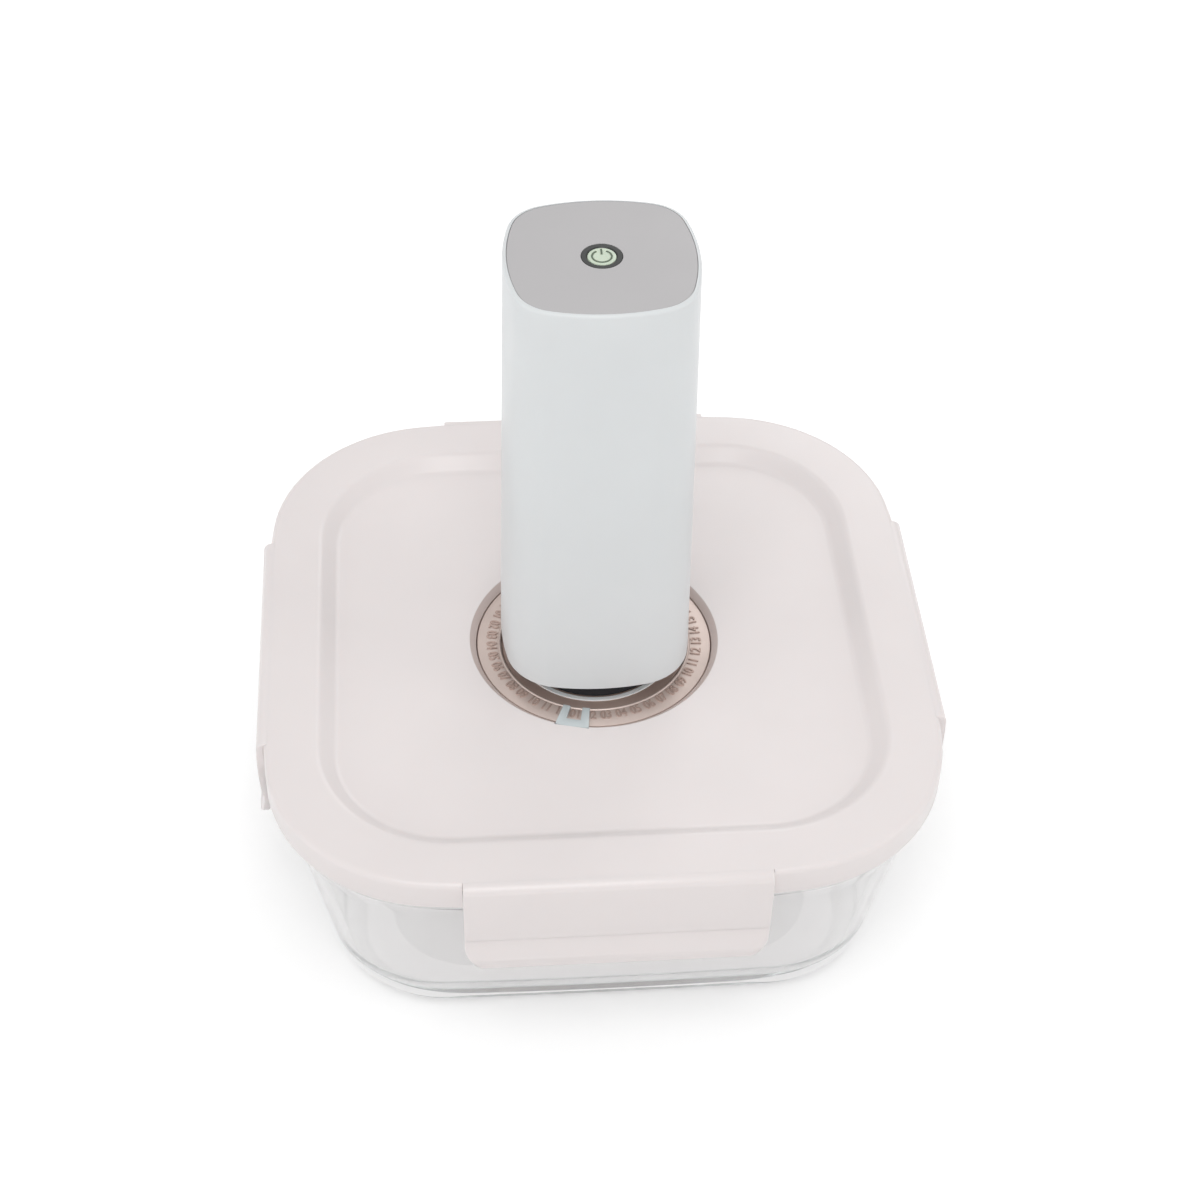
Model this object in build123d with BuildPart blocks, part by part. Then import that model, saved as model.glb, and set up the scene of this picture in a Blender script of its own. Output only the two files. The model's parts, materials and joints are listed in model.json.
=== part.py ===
from build123d import *
import os
from math import cos, radians, sin, sqrt

# A square glass food dish, its four-latch lid with a date dial and a vacuum valve, and the
# hand-held electric pump that stands on the valve. Millimetres, +Z up, the front towards -Y.
# The origin is the middle of the dish's foot, on the table.

os.makedirs("parts", exist_ok=True)

# General fits
seat_gap = 0.3             # between pieces that move past each other
slide_gap = 0.1            # round a piece that slides in a guide
overrun = 5.0              # how far a cutting shape runs past the surface that it cuts
sides = 4                  # the dish is square: four sides, four latches

# Lid outline and levels
lid_half = 90.0            # middle of the lid to the middle of a side
lid_corner = 46.0          # corner radius
lid_bow = 6.8              # how far a side stands out past its corner points
lid_height = 70.0          # rim of the closed lid above the table
lid_skin = 2.0             # wall of the lid's top
lid_edge_round = 1.5
skirt_drop = 8.6           # rim to the skirt's lower edge
skirt_wall = 1.8
panel_inset = 20.0         # lid's side to the floor of the sunken middle panel
panel_corner_less = 15.6   # how much tighter that floor's corners are
panel_slope = 4.4          # width of the sloped step round the panel
panel_drop = 3.8           # how far the panel lies under the rim
panel_round = 2.4          # soft edges of that step

# Dish
seal_height = 3.6          # pressed height of the seal between the rim and the lid
flange_gap = 0.5           # between the skirt and the glass flange
flange_height = 7.2
flange_round = 1.2
shoulder_inset = 5.0       # lid's side to the outside of the glass wall under the flange
shoulder_corner_less = 6.0
shoulder_bow = 4.2
foot_inset = 11.6          # how far the wall has come in where it would meet the table
foot_corner_less = 9.0
foot_bow = 0.8
foot_round = 7.0
rim_wall = 2.8             # thickness of the glass wall at the rim
rim_corner_less = 3.0
floor_wall = 3.0           # the same at the floor
floor_corner_less = 4.0
basin_round = 9.0
glass_floor = 5.5          # thickness of the floor
foot_ring = 7.5            # width of the flat ring that the dish stands on
foot_hollow = 0.8          # how far the underside is hollowed inside that ring

# Dial well in the middle of the lid
well_radius = 32.2         # radius of the well's straight wall
well_flare = 1.5           # how much wider the well opens in the panel
well_wall = 1.6
well_skin = 2.0            # floor of the well
dial_sink = 1.6            # panel down to the dial's face
dial_thickness = 3.3
dial_float = 0.1           # the dial runs this far above the well's floor
dial_width = 6.5           # width of the dial's face
dial_bevel = 0.5
dial_ledge = 1.8           # width of the inner ledge that holds the dial down
dial_ledge_height = 0.9
plate_sink = 0.9           # dial's face down to the valve plate's face

# Pump outline and levels
gasket_lift = 8.0          # the suction gasket holds the pump this far off the valve plate
pump_height = 121.5        # lower edge of the pump's shell to its top
pump_foot_half = 25.3
pump_foot_corner = 15.1
pump_top_half = 23.6
pump_top_corner = 11.3
pump_bow = 3.7
pump_wall = 2.0
pump_edge_round = 0.9
pump_lip_wall = 1.2        # thinner wall round the bottom cover

# Screws, all of one size
screw_shank = 1.0
screw_head = 1.9
screw_head_height = 1.2
fit_gap = 0.1              # round a piece that is fitted into another


def bowed_square(half, corner, bow, mode=Mode.ADD):
    """Draw, in the open sketch, a square whose sides bow outwards and whose corners are round."""
    tip = half - bow
    with BuildSketch(mode=Mode.PRIVATE) as outline:
        if bow:
            with BuildLine():
                ThreePointArc((-tip, -tip), (0, -half), (tip, -tip))
                ThreePointArc((tip, -tip), (half, 0), (tip, tip))
                ThreePointArc((tip, tip), (0, half), (-tip, tip))
                ThreePointArc((-tip, tip), (-half, 0), (-tip, -tip))
            make_face()
        else:
            Rectangle(2 * half, 2 * half)
        fillet(outline.vertices(), corner)
    add(outline.sketch_local, mode=mode)


def pump_outline(height, inset):
    """Draw, in the open sketch, the pump's tapering outline at a height, moved inwards by inset."""
    share = (height - pump_bottom) / pump_height
    half = pump_foot_half + (pump_top_half - pump_foot_half) * share
    corner = pump_foot_corner + (pump_top_corner - pump_foot_corner) * share
    bowed_square(half - inset, corner - inset, pump_bow)


def add_screw(length, pointing_up):
    """Add a screw at each open location, with the underside of its head on the location."""
    head_side, shank_side = (Align.MAX, Align.MIN) if pointing_up else (Align.MIN, Align.MAX)
    Cylinder(screw_head, screw_head_height, align=(Align.CENTER, Align.CENTER, head_side))
    Cylinder(screw_shank, length, align=(Align.CENTER, Align.CENTER, shank_side))


def corner_reach(half, corner, bow):
    """Middle of a bowed square to the outermost point of its round corner."""
    tip = half - bow
    side_radius = (tip * tip + bow * bow) / (2 * bow)
    side_centre = side_radius - half
    corner_centre = (sqrt(2 * (side_radius - corner) ** 2 - side_centre ** 2) - side_centre) / 2
    return corner_centre * sqrt(2) + corner


def on_diagonal(height):
    """Plane at a height whose x axis runs from the motor's corner to the battery's corner."""
    return Plane(origin=(0, 0, height), x_dir=(1, 1, 0))


# Sizes and levels that follow from the sizes above
lid_under = lid_height - lid_skin
skirt_bottom = lid_height - skirt_drop
panel_top = lid_height - panel_drop
panel_under = panel_top - lid_skin
rim_top = lid_under - seal_height
flange_bottom = rim_top - flange_height
flange_half = lid_half - skirt_wall - flange_gap
flange_corner = lid_corner - skirt_wall - flange_gap
panel_half = lid_half - panel_inset
panel_corner = lid_corner - panel_corner_less
shoulder_half = lid_half - shoulder_inset
shoulder_corner = lid_corner - shoulder_corner_less
foot_half = shoulder_half - foot_inset
foot_corner = shoulder_corner - foot_corner_less
opening_half = shoulder_half - rim_wall
opening_corner = shoulder_corner - rim_corner_less
basin_half = foot_half - floor_wall
basin_corner = foot_corner - floor_corner_less
well_mouth = well_radius + well_flare
dial_outer = well_radius - seat_gap
dial_inner = dial_outer - dial_width
dial_top = panel_top - dial_sink
plate_top = dial_top - plate_sink
well_floor = dial_top - dial_thickness - dial_float
well_under = well_floor - well_skin
pump_bottom = plate_top + gasket_lift
pump_top = pump_bottom + pump_height

# Glass dish: tapered wall on a rounded foot, a flange for the latches, a hollow with a round floor
with BuildPart() as dish_hollow:
    with BuildSketch(Plane.XY.offset(glass_floor)):
        bowed_square(basin_half, basin_corner, foot_bow)
    with BuildSketch(Plane.XY.offset(rim_top)):
        bowed_square(opening_half, opening_corner, shoulder_bow)
    loft()
    fillet(dish_hollow.edges().group_by(Axis.Z)[0], basin_round)

with BuildPart() as glass_dish:
    with BuildSketch(Plane.XY):
        bowed_square(foot_half, foot_corner, foot_bow)
    with BuildSketch(Plane.XY.offset(flange_bottom)):
        bowed_square(shoulder_half, shoulder_corner, shoulder_bow)
    loft()
    fillet(glass_dish.edges().group_by(Axis.Z)[0], foot_round)
    with BuildSketch(Plane.XY.offset(flange_bottom)):
        bowed_square(flange_half, flange_corner, lid_bow)
    extrude(amount=flange_height)
    fillet(glass_dish.edges().group_by(Axis.Z)[-1], flange_round)
    add(dish_hollow.part, mode=Mode.SUBTRACT)
    with BuildSketch(Plane.XY):
        bowed_square(foot_half - foot_round - foot_ring, foot_corner - foot_ring, foot_bow)
    extrude(amount=foot_hollow, mode=Mode.SUBTRACT)
glass_dish.part.label = "glass_dish"
export_step(glass_dish.part, "parts/glass_dish.step")

# Lid seal: soft ring that fills the groove in the lid and lies on the glass rim
seal_start = 0.8           # opening of the dish to the seal's inner side
seal_width = 2.7
with BuildPart() as lid_seal:
    with BuildSketch(Plane.XY.offset(rim_top)):
        bowed_square(opening_half + seal_start + seal_width, opening_corner + seal_start + seal_width,
                     shoulder_bow)
        bowed_square(opening_half + seal_start, opening_corner + seal_start, shoulder_bow,
                     mode=Mode.SUBTRACT)
    extrude(amount=seal_height)
lid_seal.part.label = "lid_seal"
export_step(lid_seal.part, "parts/lid_seal.step")

# Lid shell: one moulding with a sunken panel, a skirt that is notched for the latches, two ribs
# that hold the seal, and a well for the dial
rib_wall = 1.3
rib_gap = 0.2              # seal to the ribs on each side
plug_gap = 1.4             # inner rib to the dish's opening
plug_drop = 7.0            # the inner rib hangs this far under the lid's top wall
outer_rib_drop = 2.6
latch_width = 77.0
latch_side_gap = 0.25
hinge_inset = 2.5          # lid's side to the line that a latch hinges on
hinge_seam = lid_half - hinge_inset
air_hole_count = 6
air_hole_radius = 1.0
air_hole_ring = 6.2
valve_stem_radius = 2.5
marker_angle = -104.0      # where the window of the date marker stands, from +X
marker_width_angle = 16.0
marker_thickness = 0.9
marker_floor = dial_top + seat_gap

with BuildPart() as panel_block:
    with BuildSketch(Plane.XY.offset(panel_under)):
        bowed_square(panel_half + lid_skin, panel_corner + lid_skin, 0)
    with BuildSketch(Plane.XY.offset(lid_under)):
        bowed_square(panel_half + panel_slope + lid_skin, panel_corner + panel_slope + lid_skin, 0)
    loft()

with BuildPart() as lid_cavity:
    with BuildSketch(Plane.XY.offset(skirt_bottom)):
        bowed_square(lid_half - skirt_wall, lid_corner - skirt_wall, lid_bow)
    extrude(amount=lid_under - skirt_bottom)
    add(panel_block.part, mode=Mode.SUBTRACT)

with BuildPart() as panel_recess:
    with BuildSketch(Plane.XY.offset(panel_top)):
        bowed_square(panel_half, panel_corner, 0)
    with BuildSketch(Plane.XY.offset(lid_height)):
        bowed_square(panel_half + panel_slope, panel_corner + panel_slope, 0)
    loft()
    fillet(panel_recess.edges().group_by(Axis.Z)[0], panel_round)

with BuildPart() as lid_shell:
    with BuildSketch(Plane.XY.offset(skirt_bottom)):
        bowed_square(lid_half, lid_corner, lid_bow)
    extrude(amount=skirt_drop)
    fillet(lid_shell.edges().group_by(Axis.Z)[-1], lid_edge_round)
    add(panel_recess.part, mode=Mode.SUBTRACT)
    fillet(lid_shell.edges(Select.LAST).group_by(Axis.Z)[-1], panel_round)
    add(lid_cavity.part, mode=Mode.SUBTRACT)
    # notches for the latches: the skirt goes, and the top wall ends at the hinge line
    with BuildSketch(Plane.XY.offset(skirt_bottom)):
        with PolarLocations(lid_half - skirt_wall - lid_bow, sides):
            Rectangle(skirt_wall + lid_bow + overrun, latch_width + 2 * latch_side_gap,
                      align=(Align.MIN, Align.CENTER))
    extrude(amount=lid_under - skirt_bottom, mode=Mode.SUBTRACT)
    with BuildSketch(Plane.XY.offset(lid_under)):
        with PolarLocations(hinge_seam, sides):
            Rectangle(hinge_inset + overrun, latch_width + 2 * latch_side_gap,
                      align=(Align.MIN, Align.CENTER))
    extrude(amount=lid_skin, mode=Mode.SUBTRACT)
    # inner rib, which also centres the lid in the dish's opening
    with BuildSketch(Plane.XY.offset(lid_under - plug_drop)):
        bowed_square(opening_half - plug_gap, opening_corner - plug_gap, shoulder_bow)
        bowed_square(opening_half - plug_gap - rib_wall, opening_corner - plug_gap - rib_wall,
                     shoulder_bow, mode=Mode.SUBTRACT)
    extrude(amount=plug_drop)
    # outer rib
    outer_rib_half = opening_half + seal_start + seal_width + rib_gap
    outer_rib_corner = opening_corner + seal_start + seal_width + rib_gap
    with BuildSketch(Plane.XY.offset(lid_under - outer_rib_drop)):
        bowed_square(outer_rib_half + rib_wall, outer_rib_corner + rib_wall, shoulder_bow)
        bowed_square(outer_rib_half, outer_rib_corner, shoulder_bow, mode=Mode.SUBTRACT)
    extrude(amount=outer_rib_drop)
    # dial well: a pot under the panel, opened from above
    with BuildSketch(Plane.XY.offset(well_under)):
        Circle(well_radius + well_wall)
    extrude(amount=panel_under + lid_skin / 2 - well_under)
    with BuildSketch(Plane.XZ):
        with BuildLine():
            Polyline((0, well_floor), (well_radius, well_floor), (well_radius, dial_top),
                     (well_mouth, panel_top), (well_mouth, lid_height), (0, lid_height),
                     close=True)
        make_face()
    revolve(axis=Axis.Z, mode=Mode.SUBTRACT)
    # seat of the date marker in the well's mouth
    with BuildSketch(Plane.XY.offset(marker_floor)):
        with BuildLine():
            seat_arc = CenterArc((0, 0), well_mouth + seat_gap, marker_angle - marker_width_angle / 2,
                                 marker_width_angle)
            Line(seat_arc @ 1, (0, 0))
            Line((0, 0), seat_arc @ 0)
        make_face()
    extrude(amount=overrun, mode=Mode.SUBTRACT)
    # hole for the valve's stem, and the air holes round it
    with Locations((0, 0, well_floor)):
        Hole(valve_stem_radius + slide_gap)
    with Locations((0, 0, well_floor)):
        with PolarLocations(air_hole_ring, air_hole_count):
            Hole(air_hole_radius)
lid_shell.part.label = "lid_shell"
export_step(lid_shell.part, "parts/lid_shell.step")

# Latches: each hangs in its notch from the lid's edge, its hook reaches under the flange and its
# lip flares out for a fingertip
latch_stand = 0.5          # latch face in front of the middle of the lid's side
latch_wall = 2.0
latch_shoulder = 2.4       # round edge between a latch's top and its face
latch_drop = 30.0
latch_corner = 7.0
belly_drop = 10.0          # rim down to the fullest part of the face
belly = 0.2
crease_drop = 20.2         # rim down to the crease across the face
crease_depth = 0.7
crease_height = 0.6
lip_flare = 1.7            # how far the lip leaves the crease
lip_sag_share = 0.35       # how far the lip's curve hangs behind a straight line
hook_width = 70.0
hook_reach = 1.8           # how far the hook goes under the flange
hook_height = 1.3
hook_root = 3.4

latch_face = lid_half + latch_stand
latch_back = latch_face - latch_wall
crease_z = lid_height - crease_drop
lip_z = lid_height - latch_drop
hook_top = flange_bottom - seat_gap
for side, turn in (("front", -90), ("right", 0), ("back", 90), ("left", 180)):
    outward = Vector(cos(radians(turn)), sin(radians(turn)), 0)
    along = Vector(-sin(radians(turn)), cos(radians(turn)), 0)
    with BuildPart() as latch:
        with BuildSketch(Plane(origin=(0, 0, 0), x_dir=outward, z_dir=-along)):
            with BuildLine():
                Line((hinge_seam, lid_height), (latch_face - latch_shoulder, lid_height))
                RadiusArc((latch_face - latch_shoulder, lid_height),
                          (latch_face, lid_height - latch_shoulder), latch_shoulder)
                ThreePointArc((latch_face, lid_height - latch_shoulder),
                              (latch_face + belly, lid_height - belly_drop),
                              (latch_face - belly, crease_z + crease_height))
                Line((latch_face - belly, crease_z + crease_height),
                     (latch_face - crease_depth, crease_z))
                lip_face = latch_face - crease_depth + lip_flare
                ThreePointArc((latch_face - crease_depth, crease_z),
                              (latch_face - crease_depth + lip_flare * lip_sag_share,
                               (crease_z + lip_z) / 2),
                              (lip_face, lip_z + latch_wall / 2))
                ThreePointArc((lip_face, lip_z + latch_wall / 2), (lip_face - latch_wall / 2, lip_z),
                              (lip_face - latch_wall, lip_z + latch_wall / 2))
                ThreePointArc((lip_face - latch_wall, lip_z + latch_wall / 2),
                              (latch_back - crease_depth + lip_flare * lip_sag_share,
                               (crease_z + lip_z) / 2),
                              (latch_back - crease_depth, crease_z))
                Line((latch_back - crease_depth, crease_z), (latch_back, crease_z + crease_height))
                Line((latch_back, crease_z + crease_height), (latch_back, lid_height - lid_skin))
                Line((latch_back, lid_height - lid_skin), (hinge_seam, lid_height - lid_skin))
                Line((hinge_seam, lid_height - lid_skin), (hinge_seam, lid_height))
            make_face()
        extrude(amount=latch_width / 2, both=True)
        with BuildSketch(Plane(origin=outward * hinge_seam, x_dir=along, z_dir=outward)):
            with BuildLine():
                FilletPolyline((latch_width / 2, lid_height), (latch_width / 2, lip_z),
                               (-latch_width / 2, lip_z), (-latch_width / 2, lid_height),
                               radius=latch_corner)
                Line((-latch_width / 2, lid_height), (latch_width / 2, lid_height))
            make_face()
        extrude(amount=latch_face, mode=Mode.INTERSECT)
        with BuildSketch(Plane(origin=(0, 0, 0), x_dir=outward, z_dir=-along)):
            with BuildLine():
                hook_tip = flange_half - hook_reach
                Polyline((latch_back, hook_top), (hook_tip, hook_top),
                         (hook_tip, hook_top - hook_height), (latch_back, hook_top - hook_root),
                         close=True)
            make_face()
        extrude(amount=hook_width / 2, both=True)
    latch.part.label = "latch_" + side
    export_step(latch.part, "parts/latch_" + side + ".step")

# Date dial: ring with an inner ledge, free to turn in the well
with BuildPart() as date_dial:
    with BuildSketch(Plane.XZ):
        with BuildLine():
            dial_under = well_floor + dial_float
            Polyline((dial_inner - dial_ledge, dial_under), (dial_outer, dial_under),
                     (dial_outer, dial_top), (dial_inner + dial_bevel, dial_top),
                     (dial_inner, dial_top - dial_bevel), (dial_inner, dial_under + dial_ledge_height),
                     (dial_inner - dial_ledge, dial_under + dial_ledge_height), close=True)
        make_face()
    revolve(axis=Axis.Z)
date_dial.part.label = "date_dial"
export_step(date_dial.part, "parts/date_dial.step")

# Date marker: a U that lies over the dial and frames one number, held in the well's mouth
marker_stop = 1.0          # dial's inner edge to the ends of the U
marker_bar = 2.7           # width of the U's closed side
marker_window_angle = 7.0
marker_inner = dial_inner + marker_stop
marker_outer = well_mouth
marker_window_outer = marker_outer - marker_bar
with BuildPart() as date_marker:
    with BuildSketch(Plane.XY.offset(marker_floor)):
        with BuildLine():
            outer_arc = CenterArc((0, 0), marker_outer,
                                  marker_angle - marker_width_angle / 2 + seat_gap,
                                  marker_width_angle - 2 * seat_gap)
            Line(outer_arc @ 1, (0, 0))
            Line((0, 0), outer_arc @ 0)
        make_face()
        Circle(marker_inner, mode=Mode.SUBTRACT)
        with BuildLine():
            window_arc = CenterArc((0, 0), marker_window_outer,
                                   marker_angle - marker_window_angle / 2, marker_window_angle)
            Line(window_arc @ 1, (0, 0))
            Line((0, 0), window_arc @ 0)
        make_face(mode=Mode.SUBTRACT)
    extrude(amount=marker_thickness)
date_marker.part.label = "date_marker"
export_step(date_marker.part, "parts/date_marker.step")

# Valve plate: holds the dial down and gives the pump a flat ring to seal on
plate_rim = 1.2            # thickness of the rim over the dial's ledge
plate_opening = 10.4
seat_ring_width = 1.4
seat_ring_depth = 0.8
seat_ring_stand = 0.3
gasket_foot_outer = 20.3
seat_ring_inner = gasket_foot_outer + seat_gap
seat_ring_outer = seat_ring_inner + seat_ring_width
with BuildPart() as valve_plate:
    with BuildSketch(Plane.XZ):
        with BuildLine():
            plate_outer = dial_inner - seat_gap
            hub_outer = dial_inner - dial_ledge - seat_gap
            Polyline((plate_opening, well_floor), (hub_outer, well_floor),
                     (hub_outer, plate_top - plate_rim), (plate_outer, plate_top - plate_rim),
                     (plate_outer, plate_top), (seat_ring_outer, plate_top),
                     (seat_ring_outer, plate_top - seat_ring_depth),
                     (seat_ring_inner, plate_top - seat_ring_depth), (seat_ring_inner, plate_top),
                     (plate_opening, plate_top), close=True)
        make_face()
    revolve(axis=Axis.Z)
valve_plate.part.label = "valve_plate"
export_step(valve_plate.part, "parts/valve_plate.step")

# Valve seat ring: pale ring let into the plate, round the pump's cup
with BuildPart() as valve_seat_ring:
    with BuildSketch(Plane.XY.offset(plate_top - seat_ring_depth)):
        Circle(seat_ring_outer)
        Circle(seat_ring_inner, mode=Mode.SUBTRACT)
    extrude(amount=seat_ring_depth + seat_ring_stand)
valve_seat_ring.part.label = "valve_seat_ring"
export_step(valve_seat_ring.part, "parts/valve_seat_ring.step")

# Valve plug: soft mushroom that covers the air holes and lifts to let the air out
plug_side_gap = 0.8        # plug to the plate's opening
plug_disc = 1.6
plug_knob = 4.2
plug_knob_height = 3.0
plug_lift = 1.4            # free travel before the bulb meets the lid
plug_bulb_catch = 1.3      # how far the bulb stands out past the stem
plug_bulb_height = 1.6
plug_radius = plate_opening - plug_side_gap
plug_bulb_radius = valve_stem_radius + plug_bulb_catch
with BuildPart() as valve_plug:
    with BuildSketch(Plane.XZ):
        with BuildLine():
            bulb_top = well_under - plug_lift - slide_gap
            Polyline((0, bulb_top - plug_bulb_height), (valve_stem_radius, bulb_top - plug_bulb_height),
                     (plug_bulb_radius, bulb_top), (valve_stem_radius, bulb_top),
                     (valve_stem_radius, well_floor), (plug_radius, well_floor),
                     (plug_radius, well_floor + plug_disc / 2), (plug_knob, well_floor + plug_disc),
                     (plug_knob, well_floor + plug_disc + plug_knob_height),
                     (0, well_floor + plug_disc + plug_knob_height), close=True)
        make_face()
    revolve(axis=Axis.Z)
    fillet(valve_plug.edges().group_by(Axis.Z)[-1], plug_disc / 2)
valve_plug.part.label = "valve_plug"
export_step(valve_plug.part, "parts/valve_plug.step")

# Suction gasket: black rubber bell under the pump, which a spigot of the bottom cover holds
cover_sink = 1.3           # lower edge of the pump's housing up to the cover
cover_skin = 2.4
gasket_collar_inner = 14.9
gasket_collar_wall = 2.4
gasket_foot_wall = 2.2
gasket_foot_height = 3.2
gasket_collar_height = 3.0
cover_under = pump_bottom + cover_sink
cover_top = cover_under + cover_skin
with BuildPart() as suction_gasket:
    with BuildSketch(Plane.XZ):
        with BuildLine():
            collar_outer = gasket_collar_inner + gasket_collar_wall
            foot_inner = gasket_foot_outer - gasket_foot_wall
            collar_z = cover_under - gasket_collar_height
            foot_z = plate_top + gasket_foot_height
            Polyline((foot_inner, plate_top), (gasket_foot_outer, plate_top),
                     (gasket_foot_outer, foot_z), (collar_outer, collar_z),
                     (collar_outer, cover_under), (gasket_collar_inner, cover_under),
                     (gasket_collar_inner, collar_z), (foot_inner, foot_z), close=True)
        make_face()
    revolve(axis=Axis.Z)
suction_gasket.part.label = "suction_gasket"
export_step(suction_gasket.part, "parts/suction_gasket.step")

# Bottom cover: closes the housing, holds the gasket on a spigot and takes in the air
spigot_wall = 1.8
spigot_drop = 3.4
inlet_bore = 1.1
nipple_radius = 2.2
nipple_height = 2.6
corner_ring_inset = 5.5    # outside of the housing's corner to the screws of the cover
corner_ring = corner_reach(pump_foot_half, pump_foot_corner, pump_bow) - corner_ring_inset
corner_start = 45.0        # angle of the first corner, from +X
screw_recess = 0.2         # how far a head lies under the face round it
vent_count = 3             # exhaust slots along each side of the cover
vent_length = 4.4
vent_width = 1.2
vent_pitch = 6.6
vent_ring = 21.0
quarter_turn = 90.0
with BuildPart() as bottom_cover:
    with BuildSketch(Plane.XY.offset(cover_under)):
        pump_outline(pump_bottom, pump_lip_wall + fit_gap)
    extrude(amount=cover_skin)
    with BuildSketch(Plane.XY.offset(cover_under - spigot_drop)):
        Circle(gasket_collar_inner - fit_gap)
        Circle(gasket_collar_inner - fit_gap - spigot_wall, mode=Mode.SUBTRACT)
    extrude(amount=spigot_drop)
    with BuildSketch(Plane.XY.offset(cover_top)):
        Circle(nipple_radius)
    extrude(amount=nipple_height)
    with Locations((0, 0, cover_top + nipple_height)):
        Hole(inlet_bore)
    with Locations(Plane(origin=(0, 0, cover_under), z_dir=(0, 0, -1))):
        with PolarLocations(corner_ring, sides, start_angle=corner_start):
            CounterBoreHole(screw_shank + fit_gap, screw_head + fit_gap,
                            screw_head_height + screw_recess)
    with BuildSketch(Plane.XY.offset(cover_under)):
        with PolarLocations(vent_ring, sides):
            with GridLocations(vent_pitch, vent_pitch, 1, vent_count):
                SlotOverall(vent_length, vent_width, rotation=quarter_turn)
    extrude(amount=cover_skin, mode=Mode.SUBTRACT)
bottom_cover.part.label = "bottom_cover"
export_step(bottom_cover.part, "parts/bottom_cover.step")

# Pump housing: tapered tube with a step for the bottom cover, a ledge for the top panel and a
# port for the charging plug
top_panel_skin = 2.0
ledge_wall = 2.0
ledge_reach = 3.2          # how far the ledge reaches inwards past the middle of a post
board_thickness = 1.6
board_drop = 6.6           # underside of the top panel down to the board's face
socket_width = 8.9
socket_height = 3.2
port_gap = 0.4             # port to the socket, all round
post_ring_inset = 5.2      # outside of the housing's corner to the frame's posts
post_ring = corner_reach(pump_top_half, pump_top_corner, pump_bow) - post_ring_inset
panel_seat = pump_top - top_panel_skin
ledge_under = panel_seat - ledge_wall
board_top = panel_seat - board_drop
board_under = board_top - board_thickness
ledge_opening = post_ring - ledge_reach

with BuildPart() as pump_inside:
    with BuildSketch(Plane.XY.offset(cover_top)):
        pump_outline(cover_top, pump_wall)
    with BuildSketch(Plane.XY.offset(ledge_under)):
        pump_outline(ledge_under, pump_wall)
    loft()

with BuildPart() as pump_housing:
    with BuildSketch(Plane.XY.offset(pump_bottom)):
        pump_outline(pump_bottom, 0)
    with BuildSketch(Plane.XY.offset(pump_top)):
        pump_outline(pump_top, 0)
    loft()
    fillet(pump_housing.edges().group_by(Axis.Z)[-1], pump_edge_round)
    add(pump_inside.part, mode=Mode.SUBTRACT)
    with BuildSketch(Plane.XY.offset(pump_bottom)):
        pump_outline(pump_bottom, pump_lip_wall)
    extrude(amount=cover_top - pump_bottom, mode=Mode.SUBTRACT)
    with BuildSketch(Plane.XY.offset(panel_seat)):
        pump_outline(pump_top, pump_edge_round)
    extrude(amount=top_panel_skin, mode=Mode.SUBTRACT)
    with BuildSketch(Plane.XY.offset(ledge_under)):
        Circle(ledge_opening)
    extrude(amount=ledge_wall, mode=Mode.SUBTRACT)
    with Locations((0, 0, panel_seat)):
        with PolarLocations(post_ring, sides, start_angle=corner_start):
            CounterBoreHole(screw_shank + fit_gap, screw_head + fit_gap,
                            screw_head_height + screw_recess, depth=ledge_wall)
    with BuildSketch(Plane.XZ):
        with Locations((0, board_top + socket_height / 2)):
            RectangleRounded(socket_width + 2 * port_gap, socket_height + 2 * port_gap,
                             socket_height / 2)
    extrude(amount=-pump_foot_half, mode=Mode.SUBTRACT)
pump_housing.part.label = "pump_housing"
export_step(pump_housing.part, "parts/pump_housing.step")

# Inner frame: four legs on the cover, a floor for the pump and the battery, a web between them,
# a shelf over the battery, a deck under the board, and posts up to the housing's ledge
frame_inset = 2.6          # outside of the housing to the edges of the frame's floor and deck
leg_height = 4.0
leg_radius = 2.6
frame_skin = 2.0
deck_drop = 4.0            # underside of the board down to the deck
motor_offset = 10.6        # middle of the pump to the motor's axis, along the diagonal
pump_block_radius = 13.5
battery_radius = 9.2
battery_gap = 0.3          # battery to the corner of the housing, at its narrow end
battery_height = 65.0
battery_tip_radius = 2.6
battery_tip_height = 1.0
contact_thickness = 0.6
web_wall = 1.8
web_half = 19.0
web_window_width = 14.0
web_window_height = 12.0
web_window_pitch = 20.0
web_window_count = 3
deck_opening = 9.0
post_radius = 2.3
board_post_ring = 14.5
board_post_radius = 2.2
board_post_count = 3
board_post_start = -90.0
tube_radius = 3.3
block_screw_ring = 11.6
block_screw_count = 4
block_screw_start = 45.0

battery_offset = (corner_reach(pump_top_half, pump_top_corner, pump_bow)
                  - pump_wall - battery_gap - battery_radius)
floor_under = cover_top + leg_height
floor_top = floor_under + frame_skin
battery_bottom = floor_top + contact_thickness
battery_top = battery_bottom + battery_height
shelf_under = battery_top + battery_tip_height + contact_thickness
deck_top = board_under - deck_drop
deck_under = deck_top - frame_skin
web_middle = (battery_offset - battery_radius + pump_block_radius - motor_offset) / 2

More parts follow.
